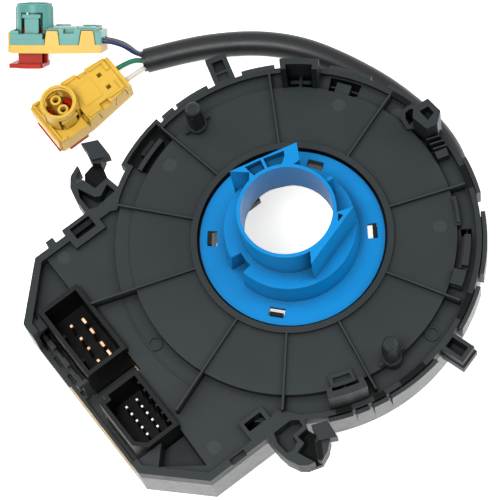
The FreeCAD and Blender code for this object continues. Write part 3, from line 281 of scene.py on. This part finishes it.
def thinFilm(name, look):
    material, tree, shader = newMaterial(name)
    place = addNode(tree, "ShaderNodeTexCoord").outputs["Object"]
    bands = addNode(tree, "ShaderNodeTexWave", {"Vector": place, "Scale": 1 / (look["bandSize"] * mm),
                                                "Distortion": 0.4, "Detail": 1.0}, bands_direction="Z")
    mask = addNode(tree, "ShaderNodeMapRange", {"Value": bands.outputs[1], "From Min": 0.45, "From Max": 0.55,
                                                "To Max": look["bandAmount"]})
    colour = addNode(tree, "ShaderNodeMix", {0: mask.outputs[0], 6: linearColour(look["colour"]),
                                             7: linearColour(look["bandColour"])}, data_type="RGBA")
    haze = addNode(tree, "ShaderNodeTexNoise", {"Vector": place, "Scale": 1 / (filmHaze["size"] * mm),
                                                "Detail": 4.0})
    rough = addNode(tree, "ShaderNodeMapRange", {"Value": haze.outputs[0], "From Min": 0.3, "From Max": 0.7,
                                                 "To Min": filmHaze["rough"][0],
                                                 "To Max": filmHaze["rough"][1]})
    setInputs(tree, shader, {"Base Color": colour.outputs[2], "Roughness": rough.outputs[0]})
    return material


for name, look in filmLooks.items():
    materials[name] = thinFilm(name, look)


# Extruded PVC round the wires: an even colour, slightly mottled.

wireColours = {"wire_blue": "1c2c55", "wire_brown": "5c3a38", "wire_green": "08704f", "wire_white": "d9d2c8"}
wireSkin = dict(mottleSize=3.0, darkest=0.8, rough=(0.28, 0.42))


def extrudedPvc(name, colourHex):
    material, tree, shader = newMaterial(name)
    place = addNode(tree, "ShaderNodeTexCoord").outputs["Object"]
    mottle = addNode(tree, "ShaderNodeTexNoise", {"Vector": place, "Scale": 1 / (wireSkin["mottleSize"] * mm),
                                                  "Detail": 5.0}).outputs[0]
    base = linearColour(colourHex)
    colour = addNode(tree, "ShaderNodeMix", {0: mottle, 6: toned(base, wireSkin["darkest"]), 7: base},
                     data_type="RGBA")
    rough = addNode(tree, "ShaderNodeMapRange", {"Value": mottle, "From Min": 0.3, "From Max": 0.7,
                                                 "To Min": wireSkin["rough"][0],
                                                 "To Max": wireSkin["rough"][1]})
    setInputs(tree, shader, {"Base Color": colour.outputs[2], "Roughness": rough.outputs[0]})
    return material


for name, colourHex in wireColours.items():
    materials[name] = extrudedPvc(name.replace("wire_", "") + "PvcExtruded", colourHex)
print("clock spring: all materials made")

# what each carried-over node is made of
nodeMaterials = {
    "stator_cover": "charcoalNylonEroded", "stator_base": "charcoalNylonPolished",
    "power_socket": "charcoalNylonSmooth", "signal_socket": "charcoalNylonSmooth",
    "outer_cable_block": "charcoalNylonSmooth",
    "power_pins": "copperAlloyDrawn", "signal_pins": "tinPlateBright", "switch_pins": "tinPlateBright",
    "terminal_board": "tanResinBoard",
    "flat_cable": "polyesterRibbonLaminate", "upper_slip_sheet": "polyesterSlipFilm",
    "lower_slip_sheet": "polyesterSlipFilm",
    "cam_sleeve": "blueAcetalSatin", "rotor_hub": "blackAcetalSmooth",
    "inner_cable_block": "blackAcetalSmooth", "switch_socket": "blackAcetalSmooth",
    "harness_grommet": "blackAcetalSmooth",
    "yellow_plug_body": "yellowPolyesterGlossy", "yellow_plug_cover": "yellowPolyesterGlossy",
    "teal_plug_body": "tealPolyesterGlossy", "teal_plug_cover": "yellowPolyesterGlossy",
    "yellow_plug_lock": "orangePolyesterGlossy", "teal_plug_lock": "orangePolyesterGlossy",
    "yellow_plug_terminals": "tinPlateBright", "teal_plug_terminals": "tinPlateBright",
}
for nodeName, materialName in nodeMaterials.items():
    mesh = nodes[nodeName].data
    mesh.materials.clear()
    mesh.materials.append(materials[materialName])
print("clock spring: materials on", len(nodeMaterials), "nodes")


# Mesh helpers. Sizes are millimetres and turn into metres here.

def shifted(x, y):
    return Matrix.Translation((x * mm, y * mm, 0))


def turned(degrees):
    return Matrix.Rotation(math.radians(degrees), 4, "Z")


def addBlock(mesh, outline, low, high, place=Matrix.Identity(4)):
    rows = [[mesh.verts.new(place @ Vector((x * mm, y * mm, z * mm))) for x, y in outline]
            for z in (low, high)]
    mesh.faces.new(rows[0][::-1])
    mesh.faces.new(rows[1])
    for i in range(len(outline)):
        k = (i + 1) % len(outline)
        mesh.faces.new((rows[0][i], rows[0][k], rows[1][k], rows[1][i]))


def addRect(mesh, x1, x2, y1, y2, low, high, place=Matrix.Identity(4)):
    addBlock(mesh, [(x1, y1), (x2, y1), (x2, y2), (x1, y2)], low, high, place)


def arcPoints(radius, start, end, steps=14):
    angles = [math.radians(start + (end - start) * i / steps) for i in range(steps + 1)]
    return [(radius * math.cos(a), radius * math.sin(a)) for a in angles]


def addSector(mesh, inner, outer, start, end, low, high, place=Matrix.Identity(4)):
    addBlock(mesh, arcPoints(outer, start, end) + arcPoints(inner, end, start), low, high, place)


def addRidge(mesh, inner, outer, foot, tip, angle, low, high):
    # a bar along the radius, foot wide below and tip wide above
    section = [(-foot / 2, low), (foot / 2, low), (tip / 2, high), (-tip / 2, high)]
    heightAlongX = Matrix(((0, 0, 1, 0), (1, 0, 0, 0), (0, 1, 0, 0), (0, 0, 0, 1)))
    addBlock(mesh, section, inner, outer, turned(angle) @ heightAlongX)


def addTurned(mesh, profile, place, steps=48):
    # closed ring body from a closed profile of radius and height
    rows = [[mesh.verts.new(place @ Vector((r * mm * math.cos(a), r * mm * math.sin(a), z * mm)))
             for r, z in profile] for a in (2 * math.pi * i / steps for i in range(steps))]
    for first, second in zip(rows, rows[1:] + rows[:1]):
        for i in range(len(profile)):
            k = (i + 1) % len(profile)
            mesh.faces.new((first[i], second[i], second[k], first[k]))


def meshPiece(name, mesh, material, body):
    bmesh.ops.recalc_face_normals(mesh, faces=mesh.faces)
    data = bpy.data.meshes.new(name)
    mesh.to_mesh(data)
    mesh.free()
    data.materials.append(materials[material])
    piece = bpy.data.objects.new(name, data)
    bpy.context.scene.collection.objects.link(piece)
    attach(piece, body)
    return piece


# Cover details. These are the cover's own levels and radii, as the part's source has them.

cover = dict(discTop=35.0, bandTop=32.25, rimTop=33.7, partZ=29.5, discR=47.8, rimR=54.9)

# tapered crests on the thin ribs, in one stretch on the disc and one on the band or the block
ribCrest = dict(foot=0.9, tip=0.5, rise=1.1, sink=0.2, start=29.6,
                bandFoot=0.96, bandTip=0.54, bandDrop=0.03, bandEnd=52.5, blockEnd=61.5,
                blockAngles=(240, 300),
                angles=(29.0, 69.0, 109.0, 150.0, 190.0, 220.0, 250.5, 290.0, 319.5, 349.5))
crests = bmesh.new()
ribTop = cover["discTop"] + ribCrest["rise"]
for angle in ribCrest["angles"]:
    overBlock = ribCrest["blockAngles"][0] < angle < ribCrest["blockAngles"][1]
    outerEnd = ribCrest["blockEnd"] if overBlock else ribCrest["bandEnd"]
    addRidge(crests, ribCrest["start"], cover["discR"], ribCrest["foot"], ribCrest["tip"], angle,
             cover["discTop"] - ribCrest["sink"], ribTop)
    addRidge(crests, cover["discR"] - ribCrest["sink"], outerEnd, ribCrest["bandFoot"], ribCrest["bandTip"],
             angle, cover["bandTop"] - ribCrest["sink"], ribTop - ribCrest["bandDrop"])
meshPiece("ribCrests", crests, "charcoalNylonRib", "stator")

# floors of the rim's clip recess and of the block's window, and the low wall in each; the floors stand in for
# the shade inside these openings. A sector is given by its inner and outer radius and its first and last
# angle, a rectangle by its x and y
recess = dict(floorLow=cover["partZ"] + 0.1, floorHigh=cover["partZ"] + 0.9,
              clipFloor=(48.7, 55.5, 189.7, 205.1), clipWall=(51.9, 53.2, 194.6, 200.6), clipWallRise=0.2,
              windowFloor=(-44.0, -40.0, -49.2, -42.4), windowWall=(-43.5, -41.8, -49.2, -42.4),
              windowWallDepths=(2.2, 0.9))
floors = bmesh.new()
addSector(floors, *recess["clipFloor"], recess["floorLow"], recess["floorHigh"])
addRect(floors, *recess["windowFloor"], recess["floorLow"], recess["floorHigh"])
addRect(floors, *recess["windowWall"], *[cover["rimTop"] - depth for depth in recess["windowWallDepths"]])
addSector(floors, *recess["clipWall"], recess["floorHigh"], cover["rimTop"] + recess["clipWallRise"])
meshPiece("recessFloors", floors, "charcoalNylonSmooth", "stator")

# painted shade: dark sheets where the rim's snap windows open, standing in for their shadowed mouths, each
# with its first and last angle and its depth
rimMouthShade = dict(width=1.6, outward=0.03, upward=0.02,
                windows=((-12.2, -8.4, 2.6), (-24.4, -19.4, 1.4), (-3.0, 6.5, 1.0), (24.0, 33.0, 1.0),
                         (68.0, 76.0, 1.0), (102.5, 109.5, 1.0)))
mouthShade = bmesh.new()
for start, end, depth in rimMouthShade["windows"]:
    addSector(mouthShade, cover["rimR"] - rimMouthShade["width"], cover["rimR"] + rimMouthShade["outward"], start, end,
              cover["rimTop"] - depth, cover["rimTop"] + rimMouthShade["upward"])
meshPiece("rimMouthShadeSheets", mouthShade, "paintedShadeBlack", "stator")

# painted shade: black plates in the two wire hooks' necks, and a strip standing in for the shadowed slot
# beside the right hook's finger
hookShadePlates = dict(leftNeck=[(-58.0, -32.2), (-57.9, -29.0), (-53.5, -30.2), (-49.7, -31.0), (-49.7, -36.2),
                           (-53.6, -37.3), (-57.2, -35.0)],
                 rightNeck=[(47.6, -36.2), (47.6, -31.4), (51.0, -30.1), (56.0, -30.6), (57.7, -34.1),
                            (56.8, -36.9), (50.5, -38.3)],
                 neckDepths=(5.3, 4.95),
                 slot=[(52.3, -32.1), (56.9, -34.7), (57.6, -34.1), (57.2, -33.0), (53.4, -30.8)],
                 slotDepths=(1.3, 0.96))
shade = bmesh.new()
for outline, depths in (("leftNeck", "neckDepths"), ("rightNeck", "neckDepths"), ("slot", "slotDepths")):
    addBlock(shade, hookShadePlates[outline], *[cover["rimTop"] - depth for depth in hookShadePlates[depths]])
meshPiece("hookNeckShade", shade, "paintedShadeBlack", "stator")

# the board's sawn edge, seen as a thin tan line along the front of the block
boardStrip = dict(x=(-9.0, 24.6), y=(-76.97, -76.5), z=(20.3, 20.64))
boardEdge = bmesh.new()
addRect(boardEdge, *boardStrip["x"], *boardStrip["y"], *boardStrip["z"])
meshPiece("boardEdge", boardEdge, "tanResinEdge", "stator")

# a low bead follows the disc across the block, where the mould's insert met it; each arc has its inner
# and outer radius, its first and last angle and its rise
beadArcs = dict(left=(52.0, 52.6, 221.0, 250.0, 0.3), right=(52.2, 52.7, 251.2, 289.4, 0.22))
beadSink = 0.1
bead = bmesh.new()
for inner, outer, start, end, rise in beadArcs.values():
    addSector(bead, inner, outer, start, end, cover["bandTop"] - beadSink, cover["bandTop"] + rise)
meshPiece("blockBead", bead, "charcoalNylonEroded", "stator")

# round marks of the ejector pins, dished inside a fine rim
ejectorMark = dict(radius=2.1, dish=1.7, dishRise=0.02, rimRise=0.06, innerSlope=0.05, outerSlope=0.06,
                   sink=0.1, steps=36,
                   band=[(-12.0, 48.3), (-38.4, -55.6), (35.6, -55.6)],
                   disc=[(24.4, 35.2), (-40.9, -14.3), (-24.4, 36.1)])
marks = bmesh.new()
for level, centres in ((cover["bandTop"], ejectorMark["band"]), (cover["discTop"], ejectorMark["disc"])):
    bottom = level - ejectorMark["sink"]
    dish = level + ejectorMark["dishRise"]
    rim = level + ejectorMark["rimRise"]
    profile = [(0.0, bottom), (0.0, dish), (ejectorMark["dish"], dish),
               (ejectorMark["dish"] + ejectorMark["innerSlope"], rim), (ejectorMark["radius"], rim),
               (ejectorMark["radius"] + ejectorMark["outerSlope"], bottom)]
    for x, y in centres:
        addTurned(marks, profile, shifted(x, y), ejectorMark["steps"])
bmesh.ops.remove_doubles(marks, verts=marks.verts, dist=0.001 * mm)
meshPiece("ejectorMarks", marks, "charcoalNylonRubbed", "stator")

# the spring arm in the band stands up from it, with its end block and the clip strip; each part has its
# inner and outer radius, its first and last angle, and its bottom and top over the disc
latchArm = dict(rail=(49.9, 51.75, 40.6, 51.4, -0.7, 1.3), innerRail=(49.25, 50.0, 39.7, 49.0, -0.7, 0.5),
                endBlock=(48.0, 51.65, 33.2, 38.8, -0.2, 1.6), endLip=(48.0, 51.65, 33.2, 34.1, 1.5, 2.0),
                clipStrip=(47.9, 48.8, 56.0, 65.2, -0.2, 0.9))
arm = bmesh.new()
for inner, outer, start, end, low, high in latchArm.values():
    addSector(arm, inner, outer, start, end, cover["discTop"] + low, cover["discTop"] + high)
meshPiece("latchArmRails", arm, "charcoalNylonEroded", "stator")

# thin fins between the tower's foot and its ledge, over the dark clip window, and the block beside them
towerFin = dict(outline=[(1.5, 48.6), (2.0, 48.5), (3.4, 52.3), (2.9, 52.5)], shifts=(0.0, 1.5, 3.0),
                sink=1.0, rise=3.2, fall=0.5,
                block=[(5.6, 48.3), (8.0, 47.7), (8.9, 50.9), (6.6, 51.9)], blockSink=0.8, blockRise=1.2)
fins = bmesh.new()
for shift in towerFin["shifts"]:
    addBlock(fins, [(x + shift, y) for x, y in towerFin["outline"]], cover["bandTop"] - towerFin["sink"],
             cover["discTop"] + towerFin["rise"] - towerFin["fall"] * shift)
addBlock(fins, towerFin["block"], cover["discTop"] - towerFin["blockSink"],
         cover["discTop"] + towerFin["blockRise"])
meshPiece("towerFins", fins, "charcoalNylonEroded", "stator")

# turned rings left round two of the mould's cores; the profile is radius and height over the band
coreRing = dict(profile=[(1.7, -0.1), (1.75, 0.4), (2.1, 0.4), (2.2, -0.1)], steps=36,
                centres=((0.1, -50.3), (47.9, 13.6)))
rings = bmesh.new()
for x, y in coreRing["centres"]:
    addTurned(rings, [(r, cover["bandTop"] + z) for r, z in coreRing["profile"]], shifted(x, y),
              coreRing["steps"])
meshPiece("coreRings", rings, "charcoalNylonRib", "stator")

# a raised ring on the top of each locating post, and four fins round its shank
postTip = dict(height=13.0, ring=[(0.7, -0.2), (0.7, 0.12), (1.05, 0.12), (1.1, -0.2)], steps=32,
               fin=(2.0, 2.55, -0.35, 0.35), finFoot=1.4, finStop=2.4, finAngles=(45.0, 135.0, 225.0, 315.0),
               centres=((-46.0, -0.3), (46.9, -0.2)))
postTop = cover["discTop"] + postTip["height"]
tips = bmesh.new()
for x, y in postTip["centres"]:
    addTurned(tips, [(r, postTop + z) for r, z in postTip["ring"]], shifted(x, y), postTip["steps"])
    for angle in postTip["finAngles"]:
        addRect(tips, *postTip["fin"], cover["discTop"] + postTip["finFoot"], postTop - postTip["finStop"],
                shifted(x, y) @ turned(angle))
meshPiece("postTips", tips, "charcoalNylonEroded", "stator")


# Cam details: webs that close the notch at both ends, and shallow floors in the cam's pockets.

cam = dict(flangeUnder=33.4, ringTop=44.0, top=56.7, webRadii=(14.6, 18.7), webDrop=0.4,
           webAngles=((259.7, 261.3), (277.7, 279.3)), pocketSink=0.3, pocketDepth=2.8,
           pockets=([(-17.9, -1.0), (-16.9, 3.6), (-13.5, 2.9), (-13.8, -0.6), (-15.9, -0.9)],
                    [(-16.7, 4.6), (-14.9, 10.4), (-13.6, 9.8), (-12.1, 7.6), (-12.9, 5.0), (-13.3, 3.7)]))
camDetails = bmesh.new()
for start, end in cam["webAngles"]:
    addSector(camDetails, *cam["webRadii"], start, end, cam["flangeUnder"], cam["ringTop"] - cam["webDrop"])
for pocket in cam["pockets"]:
    addBlock(camDetails, pocket, cam["ringTop"] - cam["pocketSink"], cam["top"] - cam["pocketDepth"])
meshPiece("camDetails", camDetails, "blueAcetalSatin", "rotor")
print("clock spring: cover and cam details made")


# Plug details, drawn nose up with the wires leaving along +x, then laid where the plugs lie. The yellow
# plug stands nose up, and the teal one leans on its side.

# places in metres, the way along the plug, angles, and the pivot's height over the plug's foot in millimetres
plugLie = dict(yellowAt=(-0.0869, -0.026, 0.0032), yellowTurn=90, tealAt=(-0.1148, -0.0161, 0.013),
               tealWay=(0.6428, 0.7660), tealLean=30.0, tealPivot=7.6)
yellowPlace = Matrix.Translation(plugLie["yellowAt"]) @ turned(plugLie["yellowTurn"])
wayX, wayY = plugLie["tealWay"]
lean = math.radians(plugLie["tealLean"])
tealLength = Vector((wayX, wayY, 0.0))
tealNose = Vector((-wayY * math.cos(lean), wayX * math.cos(lean), math.sin(lean)))
tealAcross = tealNose.cross(tealLength)
tealTilt = Matrix([[tealLength[i], tealAcross[i], tealNose[i], 0.0] for i in range(3)] + [[0, 0, 0, 1]])
tealPlace = (Matrix.Translation(plugLie["tealAt"]) @ tealTilt
             @ Matrix.Translation((0, 0, -plugLie["tealPivot"] * mm)))

plug = dict(noseEnd=-6.3, halfW=8.2, platform=4.4, bodyH=7.6, padTop=6.0, padSink=0.05, lugX=3.85,
            noseR=5.65, skin=0.03, arcSteps=36)
# ridges that stand on both sides of the plug: x from and to, y from and to, bottom and top
plugRidges = dict(padCorners=(plug["noseEnd"] + 0.15, plug["noseEnd"] + 2.6, 7.2, 8.1, plug["padTop"] - 0.08,
                              plug["padTop"] + 1.0),
                  noseFlats=(-2.9, 2.9, 5.0, 5.55, plug["bodyH"] + 3.1, plug["bodyH"] + 4.3),
                  rearRails=(14.4, 20.2, 5.3, 6.1, plug["bodyH"] - 0.1, plug["bodyH"] + 0.4),
                  rearStops=(18.9, 20.1, 2.2, 5.4, plug["bodyH"] - 0.08, plug["bodyH"] + 0.35),
                  shoulders=(5.6, 10.2, 6.4, 7.4, plug["bodyH"] - 0.1, plug["bodyH"] + 0.35))
# a ridge across the pad and a low plate behind the nose, given in the same order
plugPlates = dict(padRidge=(plug["noseEnd"] + 0.1, plug["noseEnd"] + 0.9, -7.4, 7.4, plug["padTop"] - 0.1,
                            plug["padTop"] + 1.1),
                  rearPlate=(6.9, 13.4, -3.7, 3.7, plug["bodyH"] - 0.1, plug["bodyH"] + 0.14))
# two keys up the nose, with the angle and the bottom of each
noseKey = dict(x=(plug["noseR"] - 0.1, plug["noseR"] + 0.3), y=(-0.5, 0.5), top=plug["bodyH"] + 6.4,
               bottoms={0.0: plug["bodyH"] - 0.2, 180.0: plug["padTop"] - 0.2})
noseLip = [(4.35, 14.2), (4.35, 13.4), (4.8, 13.2), (4.8, 14.4)]


def housingDetails(name, place, material):
    mesh = bmesh.new()
    padR = plug["noseR"] + plug["skin"]
    edge = math.degrees(math.acos(plug["lugX"] / padR))
    pad = [(plug["lugX"], plug["halfW"]), (plug["noseEnd"], plug["halfW"]), (plug["noseEnd"], -plug["halfW"]),
           (plug["lugX"], -plug["halfW"])] + arcPoints(padR, -edge, -360.0 + edge, plug["arcSteps"])
    addBlock(mesh, pad, plug["platform"] - plug["padSink"], plug["padTop"], place)
    for plate in plugPlates.values():
        addRect(mesh, *plate, place)
    for x1, x2, y1, y2, low, high in plugRidges.values():
        addRect(mesh, x1, x2, y1, y2, low, high, place)
        addRect(mesh, x1, x2, -y2, -y1, low, high, place)
    for angle, bottom in noseKey["bottoms"].items():
        addRect(mesh, *noseKey["x"], *noseKey["y"], bottom, noseKey["top"], place @ turned(angle))
    addTurned(mesh, noseLip, place)
    return meshPiece(name, mesh, material, "rotor")


coverEdge = dict(x=(plug["noseEnd"] - 0.75, plug["noseEnd"] + 0.05), halfW=7.6, low=0.3,
                 top=plug["platform"] + 2.2, footEnd=plug["noseEnd"] + 1.4, footY=(6.4, 7.9), footTop=1.6)


def coverLip(name, place):
    mesh = bmesh.new()
    addRect(mesh, *coverEdge["x"], -coverEdge["halfW"], coverEdge["halfW"], coverEdge["low"],
            coverEdge["top"], place)
    near, far = coverEdge["footY"]
    for y1, y2 in ((near, far), (-far, -near)):
        addRect(mesh, coverEdge["x"][0], coverEdge["footEnd"], y1, y2, coverEdge["low"],
                coverEdge["footTop"], place)
    return meshPiece(name, mesh, "yellowPolyesterGlossy", "rotor")


shoulder = dict(radii=(2.65, 4.35), halfAngle=42, bottom=plug["platform"] - 0.2, yellowTop=8.6, tealTop=7.0)


def lockShoulders(name, place, body, top):
    mesh = bmesh.new()
    for angle in (0.0, 180.0):
        addSector(mesh, *shoulder["radii"], angle - shoulder["halfAngle"], angle + shoulder["halfAngle"],
                  shoulder["bottom"], top, place)
    return meshPiece(name, mesh, "orangePolyesterGlossy", body)


yellowExtras = [housingDetails("yellowHousingDetails", yellowPlace, "yellowPolyesterGlossy"),
                coverLip("yellowCoverLip", yellowPlace),
                lockShoulders("yellowLockShoulders", yellowPlace, "yellow_lock", shoulder["yellowTop"])]
tealExtras = [housingDetails("tealHousingDetails", tealPlace, "tealPolyesterGlossy"),
              coverLip("tealCoverLip", tealPlace),
              lockShoulders("tealLockShoulders", tealPlace, "teal_lock", shoulder["tealTop"])]
print("clock spring: plug details made")


# Free cords. The control points are the route's corner points, as the part's source has them. Routes, lengths
# and diameters are metres, radii and profiles are millimetres.

def cordCurve(name, points, radius, material, roundness):
    curve = bpy.data.curves.new(name, "CURVE")
    curve.dimensions = "3D"
    spline = curve.splines.new("NURBS")
    spline.points.add(len(points) - 1)
    for control, point in zip(spline.points, points):
        control.co = (point[0], point[1], point[2], 1.0)
    spline.order_u = 3
    spline.use_endpoint_u = True
    spline.resolution_u = 16
    curve.bevel_depth = radius
    curve.bevel_resolution = roundness
    curve.use_fill_caps = True
    curve.materials.append(material)
    piece = bpy.data.objects.new(name, curve)
    bpy.context.scene.collection.objects.link(piece)
    return piece


tube = dict(radius=3.9, wall=0.5, roundness=8, length=0.1442, diameter=0.0078,
            tape=[(3.3, -4.0), (3.3, 1.3), (2.95, 1.3), (2.9, -4.0)],
            flare=[(3.88, -1.6), (3.9, 0.25), (3.55, 0.35), (3.38, -1.6)])
tubeRoute = [(0.0205, 0.0355, 0.0076), (0.0175, 0.044, 0.0076), (0.0115, 0.0525, 0.0058),
             (0.0025, 0.0585, 0.0046), (-0.0085, 0.0609, 0.0041), (-0.0206, 0.06, 0.00395),
             (-0.0333, 0.0574, 0.00395), (-0.0472, 0.0522, 0.00395), (-0.059, 0.0461, 0.00395),
             (-0.0691, 0.0372, 0.00395), (-0.0769, 0.0265, 0.00395), (-0.0826, 0.016, 0.00395),
             (-0.087, 0.0058, 0.00395)]
sleeve = cordCurve("blackTube", tubeRoute, tube["radius"] * mm, materials["blackPvcTubeMatt"],
                   tube["roundness"])
sleeve.data.use_fill_caps = False
wall = sleeve.modifiers.new("tubeWall", "SOLIDIFY")
wall.thickness = tube["wall"] * mm
wall.offset = -1.0

# the tube's cut end flares a little and shows the tape layer inside
tubeTip = Vector(tubeRoute[-1])
along = (tubeTip - Vector(tubeRoute[-2])).normalized()
endPlace = Matrix.Translation(tubeTip) @ along.to_track_quat("Z", "Y").to_matrix().to_4x4()
tubeEnd = bmesh.new()
addTurned(tubeEnd, tube["tape"], endPlace)
addTurned(tubeEnd, tube["flare"], endPlace)
tubeEndPiece = meshPiece("tubeEnd", tubeEnd, "blackPvcTubeMatt", "rotor")
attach(sleeve, "rotor")
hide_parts("harness_sleeve")

wire = dict(radius=0.8, roundness=4, diameter=0.0016)
wireRoutes = {
    "wire_blue": [(-0.07385, 0.03242, 0.0049), (-0.07779, 0.02706, 0.0049), (-0.08355, 0.01656, 0.0049),
                  (-0.0881, 0.00515, 0.0046), (-0.0942, 0.00121, 0.01326), (-0.0987, -0.00416, 0.01326)],
    "wire_brown": [(-0.07385, 0.03242, 0.0029), (-0.07779, 0.02706, 0.0029), (-0.08355, 0.01656, 0.0029),
                   (-0.08825, 0.0055, 0.003), (-0.09616, 0.00285, 0.00884), (-0.10066, -0.00252, 0.00884)],
    "wire_green": [(-0.07215, 0.03118, 0.0049), (-0.07601, 0.02594, 0.0049), (-0.08166, 0.01564, 0.0049),
                   (-0.08605, 0.0058, 0.0048), (-0.08945, 0.0014, 0.0069), (-0.08945, -0.0065, 0.0069)],
    "wire_white": [(-0.07215, 0.03118, 0.0029), (-0.07601, 0.02594, 0.0029), (-0.08166, 0.01564, 0.0029),
                   (-0.08575, 0.0058, 0.0027), (-0.08435, 0.0012, 0.0069), (-0.08435, -0.0065, 0.0069)],
}
for name, route in wireRoutes.items():
    cord = cordCurve(name + "_insulated", route, wire["radius"] * mm, materials[name], wire["roundness"])
    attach(cord, "rotor")
    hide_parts(name)
print("clock spring: sleeve and wires laid")


# Floor, lights and camera. Camera, gloss and glass see plain white behind the object; its matt surfaces are
# lit by the softboxes and a faint world alone.

studio = dict(floorSize=3.0, floorGap=0.0001, floorColour="f4f4f4", floorGlow=0.75, worldStrength=0.3,
              aim=(0, 0, 0.02))


def seenDirectly(tree):
    # one for a ray from the camera, off gloss or through glass, zero for one that leaves a matt surface
    rays = addNode(tree, "ShaderNodeLightPath").outputs
    mirrored = addNode(tree, "ShaderNodeMath", {0: rays["Is Camera Ray"], 1: rays["Is Glossy Ray"]},
                       operation="MAXIMUM")
    glass = addNode(tree, "ShaderNodeMath", {0: mirrored.outputs[0], 1: rays["Is Transmission Ray"]},
                    operation="MAXIMUM")
    return glass.outputs[0]


bpy.ops.mesh.primitive_plane_add(size=studio["floorSize"], location=(0, 0, cadBox[0][2] - studio["floorGap"]))
floor = bpy.context.object
floor.name = "studioFloor"
floorMaterial, floorTree, floorShader = newMaterial("paleMattFloor")
glow = addNode(floorTree, "ShaderNodeMath", {0: seenDirectly(floorTree), 1: studio["floorGlow"]},
               operation="MULTIPLY")
setInputs(floorTree, floorShader, {"Base Color": linearColour(studio["floorColour"]), "Roughness": 0.9,
                                   "Specular IOR Level": 0.1, "Emission Color": (1.0, 1.0, 1.0, 1.0),
                                   "Emission Strength": glow.outputs[0]})
floor.data.materials.append(floorMaterial)

softboxes = {
    "frontSoftbox": dict(place=(0.16, -0.28, 0.86), size=0.3, power=6.6),
    "leftSoftbox": dict(place=(-0.55, -0.35, 0.6), size=0.5, power=2.0),
    "backSoftbox": dict(place=(0.35, 0.6, 0.5), size=0.5, power=4.0),
}
for name, box in softboxes.items():
    light = bpy.data.lights.new(name, "AREA")
    light.shape = "RECTANGLE"
    light.size = box["size"]
    light.size_y = box["size"]
    light.energy = box["power"]
    lamp = bpy.data.objects.new(name, light)
    lamp.location = box["place"]
    lamp.rotation_euler = (Vector(studio["aim"]) - Vector(box["place"])).to_track_quat("-Z", "Y").to_euler()
    bpy.context.scene.collection.objects.link(lamp)

world = bpy.data.worlds.new("studioWorld")
bpy.context.scene.world = world
world.use_nodes = True
worldTree = world.node_tree
worldTree.nodes.clear()
ambient = addNode(worldTree, "ShaderNodeBackground", {"Color": (1, 1, 1, 1),
                                                      "Strength": studio["worldStrength"]})
white = addNode(worldTree, "ShaderNodeBackground", {"Color": (1, 1, 1, 1), "Strength": 1.0})
shown = addNode(worldTree, "ShaderNodeMixShader", {0: seenDirectly(worldTree), 1: ambient.outputs[0],
                                                   2: white.outputs[0]})
addNode(worldTree, "ShaderNodeOutputWorld", {"Surface": shown.outputs[0]})

# fitted to the photograph's own viewpoint
photoView = dict(sensor=36.0, lens=177.48, place=(0.23288, -0.11278, 0.70338), turn=(20.441, 5.395, 52.841),
                 clip=(0.05, 20.0))
lens = bpy.data.cameras.new("photoCamera")
lens.sensor_width = photoView["sensor"]
lens.lens = photoView["lens"]
lens.clip_start, lens.clip_end = photoView["clip"]
camera = bpy.data.objects.new("photoCamera", lens)
camera.location = photoView["place"]
camera.rotation_euler = [math.radians(angle) for angle in photoView["turn"]]
bpy.context.scene.collection.objects.link(camera)
bpy.context.scene.camera = camera
bpy.context.scene.view_settings.view_transform = "Standard"
print("clock spring: studio set")
